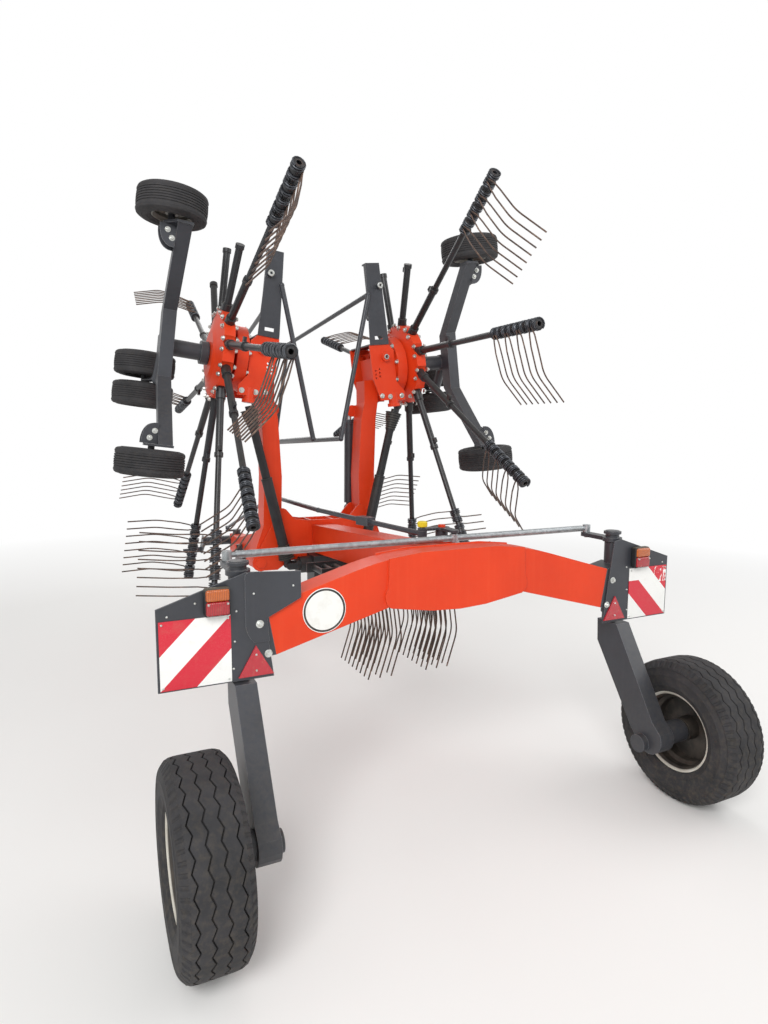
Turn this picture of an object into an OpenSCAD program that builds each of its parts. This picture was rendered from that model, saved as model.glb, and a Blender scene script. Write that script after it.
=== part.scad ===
/* [Machine] */
// Distance between the two transport wheels
track = 2580; // [2500:20:2700]
// Kingpin axis behind the middle of the machine's length
kingpin_back = 2085; // [2070:5:2100]
// Kingpin distance from the centre line
kingpin_x = 1048; // [1030:2:1060]
// Rotor centre ahead of the kingpins
rotor_ahead = 1895; // [1880:5:1910]
// Rotor centre from the centre line, folded
rotor_x = 703; // [690:1:720]
// Rotor centre above the ground, folded
rotor_z = 2481; // [2460:1:2500]
// Lean of the folded rotors towards each other, in degrees
rotor_lean = 6.83; // [6:0.01:7.5]
// Headstock swivel ahead of the kingpins
swivel_ahead = 4560; // [4500:10:4700]

/* [Rotors] */
// Number of tine arms on one rotor
arm_count = 11; // [10:1:12]
// Radius out to the end of a tine bar
arm_reach = 1645; // [1600:5:1660]
// Radius out to the end of a fixed arm sleeve
sleeve_reach = 735; // [700:5:780]
// Distance of an arm's axis from the rotor axis
arm_offset = 80; // [60:2:90]
// Arm tube diameter
arm_d = 48; // [44:1:52]
// Tine bar diameter
bar_d = 38; // [34:1:40]
// Tine coil diameter
coil_d = 66; // [60:1:70]
// Tine wire diameter
wire_d = 10; // [8:0.5:12]
// Length of a tine from its coil to its tip
tine_length = 480; // [440:5:500]
// Double tines on one bar
tines_per_bar = 4; // [3:1:4]
// Distance between double tines
tine_pitch = 112; // [100:1:116]
// Rotor shell radius
shell_r = 300; // [290:1:310]
// Thickness of each half of the rotor shell
shell_t = 62; // [54:1:66]

/* [Booms] */
// Boom length from its hinge to the rotor axis
boom_length = 1400; // [1380:5:1420]
// Hinge height above the plane of the arms, working
hinge_rise = 407; // [395:1:415]
// Boom width along the machine
boom_w = 150; // [130:2:160]
// Diameter of the boom's hinge pin
hinge_pin_d = 50; // [40:1:60]

/* [Wheels] */
// Transport tyre diameter
tyre_d = 760; // [740:5:780]
// Transport tyre width
tyre_w = 256; // [240:2:264]
// Diameter of the transport rim's bead seat
rim_d = 388; // [380:1:396]
// Rotor tyre diameter
small_tyre_d = 410; // [396:2:420]
// Rotor tyre width
small_tyre_w = 164; // [150:2:170]
// Diameter of the rotor rim's bead seat
small_rim_d = 203; // [196:1:210]

/* [Frame] */
// Crossbeam height at its middle, top side
beam_top = 1407; // [1395:1:1415]
// Crossbeam thickness along the machine
beam_t = 140; // [120:2:150]
// Main beam width
main_w = 160; // [150:2:180]
// Warning board edge length
board_w = 282; // [280:1:284]
// Lower hitch pin diameter
hitch_pin_d = 28; // [22:0.5:32]
// Distance between the shoulders of the lower hitch pins
hitch_span = 780; // [760:5:800]
// Height of the lower hitch pins
hitch_z = 640; // [620:5:660]

/* [Hidden] */

paint_red = "#d9401c";
paint_grey = "#3a3e44";
steel = "#9a9c9c";
dark = "#222326";
rust = "#6b4433";
cream = "#cfc8b4";
rubber = "#26272a";

// Gaps between pieces
seat = 0.3;
slack = 5;
$fn = 40;

// Places along the machine
axle_y = -kingpin_back;
rotor_y = axle_y + rotor_ahead;
swivel_y = axle_y + swivel_ahead;
hitch_y = swivel_y + 300;

// Hinge of the booms, from the rotor's place and lean
hinge_x = rotor_x + boom_length * sin(rotor_lean) - hinge_rise * cos(rotor_lean);
hinge_z = rotor_z - boom_length * cos(rotor_lean) - hinge_rise * sin(rotor_lean);

// Phase of the first arm of each rotor, from the top towards the rear, and the first and last arm with a bar
phase = [57.3, 65.4];
bar_first = 0;
bar_last = arm_count - 4;
arm_step = 360 / arm_count;

function arc(x, y, r, from, to, steps) =
    [for (i = [0 : steps]) let (a = from + (to - from) * i / steps) [x + r * cos(a), y + r * sin(a)]];
function flip(points) = [for (i = [len(points) - 1 : -1 : 0]) [-points[i][0], points[i][1]]];

// A flat outline in x and z, t thick from y0 forwards
module xz_plate(y0, t) translate([0, y0 + t, 0]) rotate([90, 0, 0]) linear_extrude(t) children();
// A flat outline in y and z, t thick from x0 to the right
module yz_plate(x0, t) translate([x0, 0, 0]) rotate([90, 0, 90]) linear_extrude(t) children();
module box(from, to) translate(from) cube(to - from);
module rod_x(x0, x1, y, z, d) translate([x0, y, z]) rotate([0, 90, 0]) cylinder(h = x1 - x0, d = d);
module rod_y(y0, y1, x, z, d) translate([x, y0, z]) rotate([-90, 0, 0]) cylinder(h = y1 - y0, d = d);
module rod_z(z0, z1, x, y, d) translate([x, y, z0]) cylinder(h = z1 - z0, d = d);
// A round bar between two points
module bar(a, b, d, sides = 24) {
    v = b - a;
    l = norm(v);
    translate(a) rotate([0, acos(v[2] / l), atan2(v[1], v[0])]) cylinder(h = l, d = d, $fn = sides);
}
module side(s) {
    if (s < 0) mirror([1, 0, 0]) children();
    else children();
}
// The right rotor's own axes: x out to the ground side, y forwards, z up along the rotor's plane
module at_rotor() translate([rotor_x, rotor_y, rotor_z]) rotate([0, -rotor_lean, 0]) children();

// Crossbeam: arched box between the kingpins
arch_flat = 150;
arch_r = 1400;
arch_slope = 16.3;
beam_end_x = 946;
beam_end_low = [908, 1022];
beam_low = 1172;
beam_low_x = 353;
beam_y0 = axle_y - beam_t / 2 - 5;
function beam_end_top() =
    let (x1 = arch_flat + arch_r * sin(arch_slope), z1 = beam_top - arch_r * (1 - cos(arch_slope)))
    [beam_end_x, z1 - (beam_end_x - x1) * tan(arch_slope)];
function beam_half() = concat(
    [[beam_low_x, beam_low], beam_end_low, beam_end_top()],
    arc(arch_flat, beam_top - arch_r, arch_r, 90 - arch_slope, 90, 8));
socket_x = 398;
socket_low = 1121;
socket_t = 12;
function socket_half() = concat(
    [[0, socket_low], [150, socket_low + 8], [300, 1152]],
    arc(socket_x - 60, 1215, 60, -60, 40, 6),
    [[socket_x - 20, beam_top - 12], [arch_flat + 60, beam_top + 6]]);
module crossbeam() color(paint_red) {
    xz_plate(beam_y0, beam_t) polygon(concat(beam_half(), flip(beam_half())));
    xz_plate(beam_y0 - socket_t, socket_t + 1) polygon(concat(socket_half(), flip(socket_half())));
    xz_plate(beam_y0 + beam_t - 1, socket_t) polygon(concat(socket_half(), flip(socket_half())));
}

// Kingpin housings: a bearing tube at each end of the crossbeam
pin_d = 50;
housing_d = 82;
housing_low = 985;
housing_top = 1364;
cap_top = 1428;
module kingpin_housings() color(paint_grey)
    for (s = [-1, 1]) side(s) difference() {
        union() {
            rod_z(housing_low, housing_top, kingpin_x, axle_y, housing_d);
            xz_plate(beam_y0, beam_t) polygon([[beam_end_low[0] + seat, beam_end_low[1]],
                [kingpin_x - 10, beam_end_low[1] - 10], [kingpin_x - 10, beam_end_top()[1] + 20],
                [beam_end_x + seat, beam_end_top()[1]]]);
        }
        rod_z(housing_low - 1, housing_top + 1, kingpin_x, axle_y, pin_d + 1);
    }

// Main beam: a box from the crossbeam over the pivot to the headstock
// Its stations: [ahead of the kingpins, top, bottom]
main_stations = [[beam_t / 2 - 5 + socket_t - 1, 1397, 1179], [1500, 1312, 1110], [2350, 1262, 1060],
    [3300, 1040, 850], [4180, 850, 660], [swivel_ahead - 70, 840, 650]];
function main_outline(gap) = concat(
    [for (s = main_stations) [axle_y + s[0], s[1] + gap]],
    [for (i = [len(main_stations) - 1 : -1 : 0]) [axle_y + main_stations[i][0], main_stations[i][2] - gap]]);
lever_post = [140, axle_y + 330];
post_d = 40;
module main_beam() color(paint_red) {
    yz_plate(-main_w / 2, main_w) polygon(main_outline(0));
    // Swivel eyes at the front
    difference() {
        union() {
            rod_z(650, 700, 0, swivel_y, 150);
            rod_z(790, 840, 0, swivel_y, 150);
            box([-60, swivel_y - 80, 650], [60, swivel_y - 30, 700]);
            box([-60, swivel_y - 80, 790], [60, swivel_y - 30, 840]);
        }
        rod_z(640, 850, 0, swivel_y, swivel_d + 1);
    }
    // Bracket and post of the centre steering lever
    box([-60, lever_post[1] - 60, 1370], [lever_post[0] + 50, lever_post[1] + 60, 1392]);
    rod_z(1390, lever_plate_z + lever_plate_t + 12, lever_post[0], lever_post[1], post_d);
    // Stand bracket: the stand's pin and two stops
    rod_x(-main_w / 2 - 78, -main_w / 2 + 1, stand_y, stand_z, stand_pin_d);
    rod_x(-main_w / 2 - 78, -main_w / 2 - 68, stand_y, stand_z, 60);
    rod_x(-main_w / 2 - 6, -main_w / 2 + 1, stand_y, stand_z, 90);
}

// Pivot frame: two plates across the main beam that carry the boom hinges and the lift cylinders
pivot_rear = rotor_y - boom_w / 2 - slack - 14;
pivot_front = rotor_y + boom_w / 2 + slack;
plate_t = 14;
cyl_base = [305, 1378];
cyl_y = pivot_front + plate_t + 44;
eye_r = 62;
pivot_half = concat(
    [[0, 1062], [95, 1062], [250, 1044], [345, 982]],
    arc(hinge_x, hinge_z, eye_r, -110, 50, 8),
    [[cyl_base[0] + 62, 1330]],
    arc(cyl_base[0], cyl_base[1], 48, 10, 150, 6),
    [[215, 1345], [120, 1330], [0, 1330]]);
module pivot_frame() color(paint_red) {
    difference() {
        union() {
            for (y = [pivot_rear, pivot_front]) xz_plate(y, plate_t)
                polygon(concat(pivot_half, flip(pivot_half)));
            for (s = [-1, 1]) side(s) {
                // Web and floor between the two plates
                box([main_w / 2, pivot_rear + 1, 1063], [main_w / 2 + 14, pivot_front + 1, 1329]);
                xz_plate(pivot_rear + 1, pivot_front - pivot_rear) polygon(
                    [[92, 1063], [250, 1045], [343, 985], [350, 998], [256, 1060], [92, 1079]]);
                // Base lug and pin of the lift cylinder
                rod_y(pivot_front + 1, cyl_y - 25, cyl_base[0], cyl_base[1], 66);
                rod_y(pivot_front + 1, cyl_y + 38, cyl_base[0], cyl_base[1], cyl_pin_d);
                rod_y(cyl_y + 30, cyl_y + 38, cyl_base[0], cyl_base[1], cyl_pin_d + 16);
            }
        }
        yz_plate(-main_w / 2 - seat, main_w + 2 * seat) polygon(main_outline(seat));
        for (s = [-1, 1]) side(s)
            rod_y(pivot_rear - 1, pivot_front + plate_t + 1, hinge_x, hinge_z, hinge_pin_d + 0.4);
    }
    // Hinge pins with their heads
    for (s = [-1, 1]) side(s) {
        rod_y(pivot_rear - 12, pivot_front + plate_t + 12, hinge_x, hinge_z, hinge_pin_d);
        rod_y(pivot_rear - 12, pivot_rear - seat, hinge_x, hinge_z, hinge_pin_d + 22);
        rod_y(pivot_front + plate_t + seat, pivot_front + plate_t + 12, hinge_x, hinge_z, hinge_pin_d + 22);
    }
}

// Centre gearbox under the main beam, its line shaft to the front and its side outputs
shaft_y = pivot_rear - 66;
shaft_base = [285, 1020];
cross_d = 20;
line_z = 955;
module centre_gearbox() color(dark) {
    box([-130, shaft_y - 110, 880], [130, shaft_y + 45, 1093]);
    rod_x(-206, 206, shaft_y, shaft_base[1], 120);
    for (s = [-1, 1]) side(s) {
        // Output yoke with the pin of the drive shaft's joint
        rod_x(205, 232, shaft_y, shaft_base[1], 84);
        for (y = [-42, 30]) {
            box([231, shaft_y + y, shaft_base[1] - 24],
                [shaft_base[0], shaft_y + y + 12, shaft_base[1] + 24]);
            rod_y(shaft_y + y, shaft_y + y + 12, shaft_base[0], shaft_base[1], 48);
        }
        rod_y(shaft_y - 41, shaft_y + 41, shaft_base[0], shaft_base[1], cross_d);
    }
    rod_y(shaft_y + 40, shaft_y + 200, 0, line_z, 120);
    rod_y(shaft_y + 190, rotor_y + 480, 0, line_z, 62);
    bar([0, rotor_y + 470, line_z], [0, swivel_y - 190, 560], 62);
    // Hangers of the line shaft
    box([-35, rotor_y + 380, line_z], [35, rotor_y + 410, 1060]);
    box([-35, swivel_y - 330, 600], [35, swivel_y - 300, 652]);
    rod_y(swivel_y - 215, swivel_y - 110, 0, 556, 100);
    rod_y(swivel_y - 120, swivel_y + 20, 0, 556, input_d);
}

// Rear lamp brackets with a cover plate on the left one
bracket_y = beam_y0 - 8 - seat;
bracket_outline = [[922, 934], [1392, 934], [1392, 1272], [1036, 1390], [985, 1383], [955, 1180]];
cover_outline = concat(
    [[-800, 1378], [-800, 1262], [-948, 1190], [-940, 1090]],
    arc(-920, 1175, 120, 225, 180, 4), arc(-1016, 1368, 24, 180, 90, 4));
module lamp_brackets() color(paint_grey) {
    for (s = [-1, 1]) side(s) xz_plate(bracket_y, 8) polygon(bracket_outline);
    xz_plate(bracket_y - 5, 5.5) polygon(cover_outline);
}
board_x = 1242;
board_z = 1081;
module warning_boards() color("white")
    for (s = [-1, 1]) side(s)
        box([board_x - board_w / 2, bracket_y - 3 - seat, board_z - board_w / 2],
            [board_x + board_w / 2, bracket_y - seat, board_z + board_w / 2]);
module lamps() color("#b8461c")
    for (s = [-1, 1]) side(s) difference() {
        box([1106, bracket_y - 48, 1228], [1210, bracket_y - seat, 1344]);
        translate([1106 - 1, bracket_y - 48, 1228 - 1]) rotate([25, 0, 0]) translate([0, -40, 0])
            cube([106, 40, 60]);
    }
module reflectors() color("#c81e1e")
    for (s = [-1, 1]) side(s) xz_plate(bracket_y - 7 - seat, 7)
        polygon([[924, 948], [1074, 948], [999, 1078]]);

// Legs: kingpin, trailing box leg and stub axle; the wheel centre is trail behind the kingpin
trail = 360;
wheel_x = track / 2;
wheel_r = tyre_d / 2;
leg_w = 92;
lever = [0, 205];
lever_z = housing_top + 4;
tie_pin_d = 22;
leg_top = 924;
leg_outline = concat(
    [[38, leg_top], [32, 800], [-236, 400]],
    arc(-trail, wheel_r, 84, -60, -210, 8),
    [[-380, 470], [-104, leg_top]]);
stub_d = 66;
module leg() translate([kingpin_x, axle_y, 0]) {
    rod_z(leg_top - 1, lever_z + 1, 0, 0, pin_d);
    rod_z(leg_top - 1, housing_low - 4, 0, 0, housing_d - 6);
    rod_z(housing_low - 20, housing_low - seat, 0, 0, housing_d + 8);
    rod_z(lever_z + 21, cap_top, 0, 0, housing_d - 8);
    rod_z(cap_top - 18, cap_top - 4, 0, 0, housing_d + 12);
    // Lever plate with the tie rod's hole
    translate([0, 0, lever_z]) difference() {
        union() {
            cylinder(h = 22, d = housing_d + 22);
            translate([lever[0] - 30, 0, 0]) cube([60, lever[1], 22]);
            translate(lever) cylinder(h = 22, d = 60);
        }
        translate([lever[0], lever[1], -1]) cylinder(h = 24, d = tie_pin_d + 1);
    }
    yz_plate(-leg_w / 2, leg_w) polygon(leg_outline);
    rod_x(leg_w / 2 - 1, wheel_x - kingpin_x - 58, -trail, wheel_r, 118);
    rod_x(leg_w / 2 - 1, wheel_x - kingpin_x + 60, -trail, wheel_r, stub_d);
    rod_x(wheel_x - kingpin_x - 59, wheel_x - kingpin_x - hub_in - seat, -trail, wheel_r, 88);
    // Boss on the inner side
    rod_x(-leg_w / 2 - 34, -leg_w / 2 + 1, -trail + 40, wheel_r - 40, 92);
}
module left_leg() color(paint_grey) side(-1) leg();
module right_leg() color(paint_grey) leg();

// Rims and tyres as half profiles: [radius, distance along the axle], outer side positive
hub_in = 50;
lip = 17;
small_lip = 14;
function rim_half(w) = 0.4 * w;
// Barrel of a rim: bead seats between two lips, w is the tyre's width
function barrel_out(r, h, lip) = [[r + lip, -h], [r + lip, -h + 9], [r, -h + 20], [r, -0.36 * h],
    [r - lip, -0.2 * h], [r - lip, 0.32 * h], [r, 0.5 * h], [r, h - 20], [r + lip, h - 9], [r + lip, h]];
module transport_rim() color(cream) translate([wheel_x, axle_y - trail, wheel_r]) rotate([0, 90, 0])
    rotate_extrude($fn = 48) {
        r = rim_d / 2;
        h = rim_half(tyre_w);
        polygon(concat(barrel_out(r, h, lip), [[r + lip - 8, h], [r - 8, h - 20], [r - 8, 0.52 * h],
            [r - lip - 9, 0.38 * h], [108, 0.38 * h], [90, 74], [46, 74], [40, 92], [0, 96], [0, 64],
            [stub_d / 2 + seat, 64], [stub_d / 2 + seat, -hub_in], [62, -hub_in], [62, 24],
            [r - lip - 9, 24], [r - lip - 9, -0.26 * h], [r - 8, -0.42 * h], [r - 8, -h + 20],
            [r + lip - 8, -h]]));
    }
module tyre(r, w, seat_r, lip, fn) {
    c = w / 2;
    h = rim_half(w);
    wall = r - seat_r;
    difference() {
        rotate_extrude($fn = fn) polygon([[seat_r + seat, -0.8 * c], [seat_r + lip + 6, -0.86 * c],
            [seat_r + 0.45 * wall, -c], [seat_r + 0.8 * wall, -0.94 * c], [seat_r + 0.96 * wall, -0.78 * c],
            [r, -0.5 * c], [r, 0.5 * c], [seat_r + 0.96 * wall, 0.78 * c], [seat_r + 0.8 * wall, 0.94 * c],
            [seat_r + 0.45 * wall, c], [seat_r + lip + 6, 0.86 * c], [seat_r + seat, 0.8 * c]]);
        // The rim's lips sit in the beads
        for (z = [-h - 12, h - 20 - seat]) translate([0, 0, z])
            cylinder(h = 32 + seat, r = seat_r + lip + 2 * seat, $fn = fn);
    }
}
module transport_tyre() color(rubber) translate([wheel_x, axle_y - trail, wheel_r]) rotate([0, 90, 0])
    tyre(wheel_r, tyre_w, rim_d / 2, lip, 48);
module left_rim() side(-1) transport_rim();
module right_rim() transport_rim();
module left_tyre() side(-1) transport_tyre();
module right_tyre() transport_tyre();

// Tie rod ahead of the kingpins, with a pin in each lever and a flat eye under the centre lever
tie_z = lever_z + 22 + 24;
tie_x = kingpin_x + lever[0];
tie_y = axle_y + lever[1];
tie_top = tie_z + 22;
module tie_rod() color(steel) {
    rod_x(-tie_x + 40, tie_x - 40, tie_y, tie_z, 34);
    for (s = [-1, 1]) side(s) {
        rod_x(tie_x - 46, tie_x, tie_y, tie_z, 24);
        rod_z(lever_z + 22 + seat, tie_z + 20, tie_x, tie_y, 44);
        rod_z(lever_z - 8, tie_z, tie_x, tie_y, tie_pin_d);
    }
    rod_z(tie_z - 20, tie_top, lever_post[0], tie_y, 44);
}

// Centre steering lever on its post: one arm over the tie rod, one to the steering rod
lever_plate_z = tie_top + 8;
lever_plate_t = 14;
lever_arm = 120;
rod_end_z = lever_plate_z - 18;
module steering_lever() color(paint_grey) {
    difference() {
        union() {
            translate([0, 0, lever_plate_z]) linear_extrude(lever_plate_t) {
                translate(lever_post) circle(d = 84);
                translate([lever_post[0] - 26, tie_y]) square([52, lever_post[1] - tie_y]);
                translate([lever_post[0], tie_y]) circle(d = 52);
                translate([lever_post[0] - lever_arm, lever_post[1] - 26]) square([lever_arm, 52]);
                translate([lever_post[0] - lever_arm, lever_post[1]]) circle(d = 52);
            }
            rod_z(1392 + seat, lever_plate_z + 1, lever_post[0], lever_post[1], 68);
            rod_z(tie_top + seat, lever_plate_z + 1, lever_post[0], tie_y, 30);
        }
        rod_z(1380, lever_plate_z + lever_plate_t + 1, lever_post[0], lever_post[1], post_d + 1);
    }
    // Pin of the steering rod with its head
    rod_z(rod_end_z - 20, lever_plate_z + lever_plate_t + 8, lever_post[0] - lever_arm, lever_post[1], 20);
    rod_z(lever_plate_z + lever_plate_t - 1, lever_plate_z + lever_plate_t + 8, lever_post[0] - lever_arm,
        lever_post[1], 32);
}

// Steering rod beside the main beam, over the pivot and down to the headstock's arm
head_arm = 100;
head_arm_z = 871;
steer_points = [[lever_post[0] - lever_arm, lever_post[1], rod_end_z], [-215, axle_y + 1300, 1462],
    [-215, axle_y + 2350, 1458], [-head_arm, swivel_y, head_arm_z + 16 + 27]];
module steering_rod() color(dark) {
    // Rear eye round its pin
    difference() {
        union() {
            for (i = [0 : 2]) bar(steer_points[i], steer_points[i + 1], 30);
            for (i = [1, 2]) translate(steer_points[i]) sphere(d = 34, $fn = 24);
            translate(steer_points[0] - [0, 0, 17]) cylinder(h = 34, d = 50);
            translate(steer_points[3] - [0, 0, 18]) cylinder(h = 36, d = 46);
            // Clamp block of the length adjuster
            translate((steer_points[0] + steer_points[1]) / 2) rotate([0, 0, 103.6])
                cube([110, 56, 50], center = true);
        }
        translate(steer_points[0] - [0, 0, 30]) cylinder(h = 60, d = 21);
    }
}

// Headstock: swivel block, cross tube and the two lower hitch pins
swivel_d = 50;
head_w = hitch_span / 2;
input_d = 35;
module headstock() color(paint_grey) {
    rod_z(640, 858, 0, swivel_y, swivel_d);
    rod_z(840 + seat, head_arm_z + 1, 0, swivel_y, 84);
    rod_z(630, 650 - seat, 0, swivel_y, 84);
    rod_z(700 + seat, 790 - seat, 0, swivel_y, 130);
    box([-50, swivel_y + 20, 700 + seat], [50, swivel_y + 160, 790 - seat]);
    rod_x(-head_w + 50, head_w - 50, swivel_y + 190, 745, 100);
    for (s = [-1, 1]) side(s) {
        yz_plate(head_w - 62, 18) polygon(concat(
            [[swivel_y + 130, 700], [swivel_y + 130, 790], [swivel_y + 200, 812]],
            arc(hitch_y, hitch_z, 48, 60, -120, 8)));
        rod_x(head_w - 62, head_w, hitch_y, hitch_z, 52);
        rod_x(head_w - 1, head_w + 150, hitch_y, hitch_z, hitch_pin_d);
    }
    // Steering arm on the left side of the swivel block, with a boss under the rod's eye
    translate([0, 0, head_arm_z]) linear_extrude(16) {
        translate([0, swivel_y]) circle(d = 96);
        translate([-head_arm, swivel_y - 24]) square([head_arm, 48]);
        translate([-head_arm, swivel_y]) circle(d = 48);
    }
    rod_z(head_arm_z + 15, steer_points[3][2] - 18 - seat, -head_arm, swivel_y, 30);
}

// Parking stand: a leg that swings up to the rear about a pin on the main beam's left side
stand_y = swivel_y - 600;
stand_z = 790;
stand_pin_d = 30;
stand_x = -main_w / 2 - 66;
module parking_stand() color(paint_grey) difference() {
    union() {
        box([stand_x, stand_y - 30, 8], [stand_x + 58, stand_y + 30, stand_z]);
        rod_x(stand_x, stand_x + 58, stand_y, stand_z, 60);
        box([stand_x - 50, stand_y - 90, 0], [-main_w / 2 - 8, stand_y + 90, 10]);
        for (y = [-30, 22]) translate([stand_x + 29, stand_y + y, 9]) rotate([90, 0, 90])
            translate([0, 0, -29]) linear_extrude(58)
                polygon(y < 0 ? [[-40, 0], [1, 0], [1, 60]] : [[7, 0], [48, 0], [7, 60]]);
    }
    rod_x(stand_x - 1, stand_x + 59, stand_y, stand_z, stand_pin_d + 1);
}

// Boom: an arched box; stations: [along the boom from the rotor axis, above the arms' plane, depth]
boom_stations = [[-boom_length + 20, -hinge_rise, 116], [-boom_length + 260, -hinge_rise - 62, 132],
    [-boom_length + 620, -hinge_rise - 30, 128], [-380, -372, 118], [-250, -335, 110], [-90, -318, 110]];
cyl_eye = [-155, 1087];
eye_at = [hinge_x + cyl_eye[0], hinge_z + cyl_eye[1]];
module boom() color(paint_red) difference() {
    union() {
        at_rotor() {
            xz_plate(-boom_w / 2, boom_w) polygon(concat(
                [for (s = boom_stations) [s[1] - s[2] / 2, s[0]]],
                [for (i = [len(boom_stations) - 1 : -1 : 0])
                    [boom_stations[i][1] + boom_stations[i][2] / 2, boom_stations[i][0]]]));
            rod_y(-boom_w / 2, boom_w / 2, -hinge_rise, -boom_length, 118);
        }
        // Ear and boss that the lift cylinder's eye faces
        xz_plate(rotor_y + boom_w / 2 - 1, 18) polygon(concat(arc(eye_at[0], eye_at[1], 44, 70, 290, 10),
            [[eye_at[0] + 84, eye_at[1] - 92], [eye_at[0] + 92, eye_at[1] + 52]]));
        rod_y(rotor_y + boom_w / 2, cyl_y - 26, eye_at[0], eye_at[1], 66);
    }
    rod_y(rotor_y - boom_w, rotor_y + boom_w, hinge_x, hinge_z, hinge_pin_d + 0.4);
}
module left_boom() side(-1) boom();
module right_boom() boom();

// Rotor gearbox: round case over the shell, block, and the bracket that the boom and mast meet
case_r = 218;
case_d = [-150, -74];
neck = [-190, -300];
neck_d = 72;
boss_at = [-237, 62];
boss_d = 62;
bracket_out = 186;
bracket_top = 152;
bracket_plate = [[-352, bracket_top], [-200, bracket_top], [-160, 110], [-160, -120], [-103, -193],
    [-105, -258], [-302, -247], [-350, -84]];
module gearbox() color(paint_red) at_rotor() {
    translate([case_d[0], 0, 0]) rotate([0, 90, 0]) {
        cylinder(h = case_d[1] - case_d[0], r = case_r);
        translate([0, 0, -46]) cylinder(h = 47, r1 = 120, r2 = case_r - 30);
    }
    // Bracket plates, rear and front, with cross ribs between them
    difference() {
        union() {
            for (y = [-bracket_out, bracket_out - 14]) xz_plate(y, 14) polygon(bracket_plate);
            rod_y(-bracket_out - 26, -bracket_out + 1, boss_at[0], boss_at[1], boss_d);
        }
        rod_y(-bracket_out - 27, -bracket_out + 20, boss_at[0], boss_at[1], boss_d - 24);
        // Rows of holes in the rear plate
        for (x = [-322, -290]) for (z = [-84, -58, -32])
            rod_y(-bracket_out - 1, -bracket_out + 15, x, z + (x + 322) / 3, 15);
    }
    box([-262, -173, -205], [-160, 173, -89]);
    box([-300, -120, -89], [-195, 120, 66]);
    box([-262, -173, 96], [-206, 173, 112]);
    for (y = [-100, 40]) box([-262, y, 65], [-206, y + 60, 97]);
    // Input neck on the lower side
    translate([neck[0], shaft_y - rotor_y, neck[1]]) cylinder(h = 100, d = neck_d);
    translate([neck[0], shaft_y - rotor_y, neck[1]]) cylinder(h = 24, d = neck_d + 20);
}
module left_gearbox() side(-1) gearbox();
module right_gearbox() gearbox();

// Mast: a flanged plate behind the gearbox, its latch, and the guard hoop around the front
mast_y = -bracket_out - seat;
mast_low = bracket_top + seat;
mast_top = 712;
mast_x = [-322, -214];
hoop_d = 34;
hoop = [[-326, mast_y - 14, 505], [-455, 1350, 345], [-700, 1350, -530], [-660, mast_y - 14, -486]];
module mast() color(paint_grey) at_rotor() {
    difference() {
        union() {
            xz_plate(mast_y - 8, 8) polygon([[-348, mast_low], [-348, 180], [mast_x[0], mast_top],
                [mast_x[1], mast_top], [-200, 180], [-200, mast_low]]);
            box([-344, mast_y - 1, mast_low], [-204, bracket_out - 10, mast_low + 10]);
            box([mast_x[0], mast_y - 8, mast_top - 1], [mast_x[1], mast_y + 56, mast_top + 9]);
            for (x = [mast_x[0], mast_x[1] - 8]) box([x, mast_y - 7, 320], [x + 8, mast_y + 30, mast_top]);
        }
        box([-306, mast_y - 10, 190], [-242, mast_y + 1, 214]);
    }
    // Latch
    rod_y(mast_y - 38, mast_y - 7, -240, 560, 44);
    // Guard hoop from the mast: its near tube runs down past the boom, the others ahead over the rotor
    for (i = [0 : 3]) bar(hoop[i], hoop[(i + 1) % 4], hoop_d);
    for (p = hoop) translate(p) sphere(d = hoop_d + 4, $fn = 24);
}
module left_mast() side(-1) mast();
module right_mast() mast();

// Running gear under each rotor: collar, swept beam, wheel stubs and the front fork
gear_d = 362;
wheel_d_at = 430;
rear_wheel = [-390, 760];
front_wheel_y = 410;
front_mid = -205;
twin_pitch = 210;
beam_s = 84;
small_w = small_tyre_w;
small_stub = 40;
collar_d = 112;
plate_z = rear_wheel[1] - small_w / 2 - 26;
module axle() color(paint_grey) at_rotor() {
    rod_x(case_d[1] + seat, gear_d, 0, 0, collar_d);
    rod_x(shell_t + 20, shell_t + 70, 0, 0, collar_d + 44);
    // Swept beam: [ahead of the rotor axis, up the rotor's plane]
    p = [[-470, -plate_z], [-112, -210], [-112, 210], [-470, plate_z]];
    t = beam_s / 2;
    yz_plate(gear_d - t, beam_s) polygon(concat(
        [for (q = p) [q[0] - t, q[1]]],
        [[p[3][0] + t, p[3][1]], [p[2][0] + 1.5 * t, p[2][1] - 10], [p[1][0] + 1.5 * t, p[1][1] + 10],
            [p[0][0] + t, p[0][1]]]));
    box([gear_d - t, -120, -60], [gear_d + t, 10, 60]);
    for (s = [-1, 1]) {
        // End plates and stubs of the rear wheels
        translate([0, 0, s * plate_z - 7]) linear_extrude(14)
            polygon([[gear_d - 46, -516], [gear_d + 46, -516], [wheel_d_at + 46, rear_wheel[0] - 40],
                [wheel_d_at + 46, rear_wheel[0] + 40], [wheel_d_at - 46, rear_wheel[0] + 40],
                [gear_d - 46, -424]]);
        mirror([0, 0, s < 0 ? 1 : 0]) translate([wheel_d_at, rear_wheel[0], plate_z])
            cylinder(h = rear_wheel[1] + 36 - plate_z, d = small_stub);
    }
    // Front fork and the twin wheels' axle
    knee = [gear_d + 5, 165, front_mid];
    bar([gear_d, 0, 0], knee, 70);
    bar(knee, [wheel_d_at, front_wheel_y, front_mid], 34);
    translate(knee) sphere(d = 80);
    translate([wheel_d_at, front_wheel_y, front_mid - twin_pitch / 2 - 36])
        cylinder(h = twin_pitch + 72, d = small_stub);
}
module left_axle() side(-1) axle();
module right_axle() axle();

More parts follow.
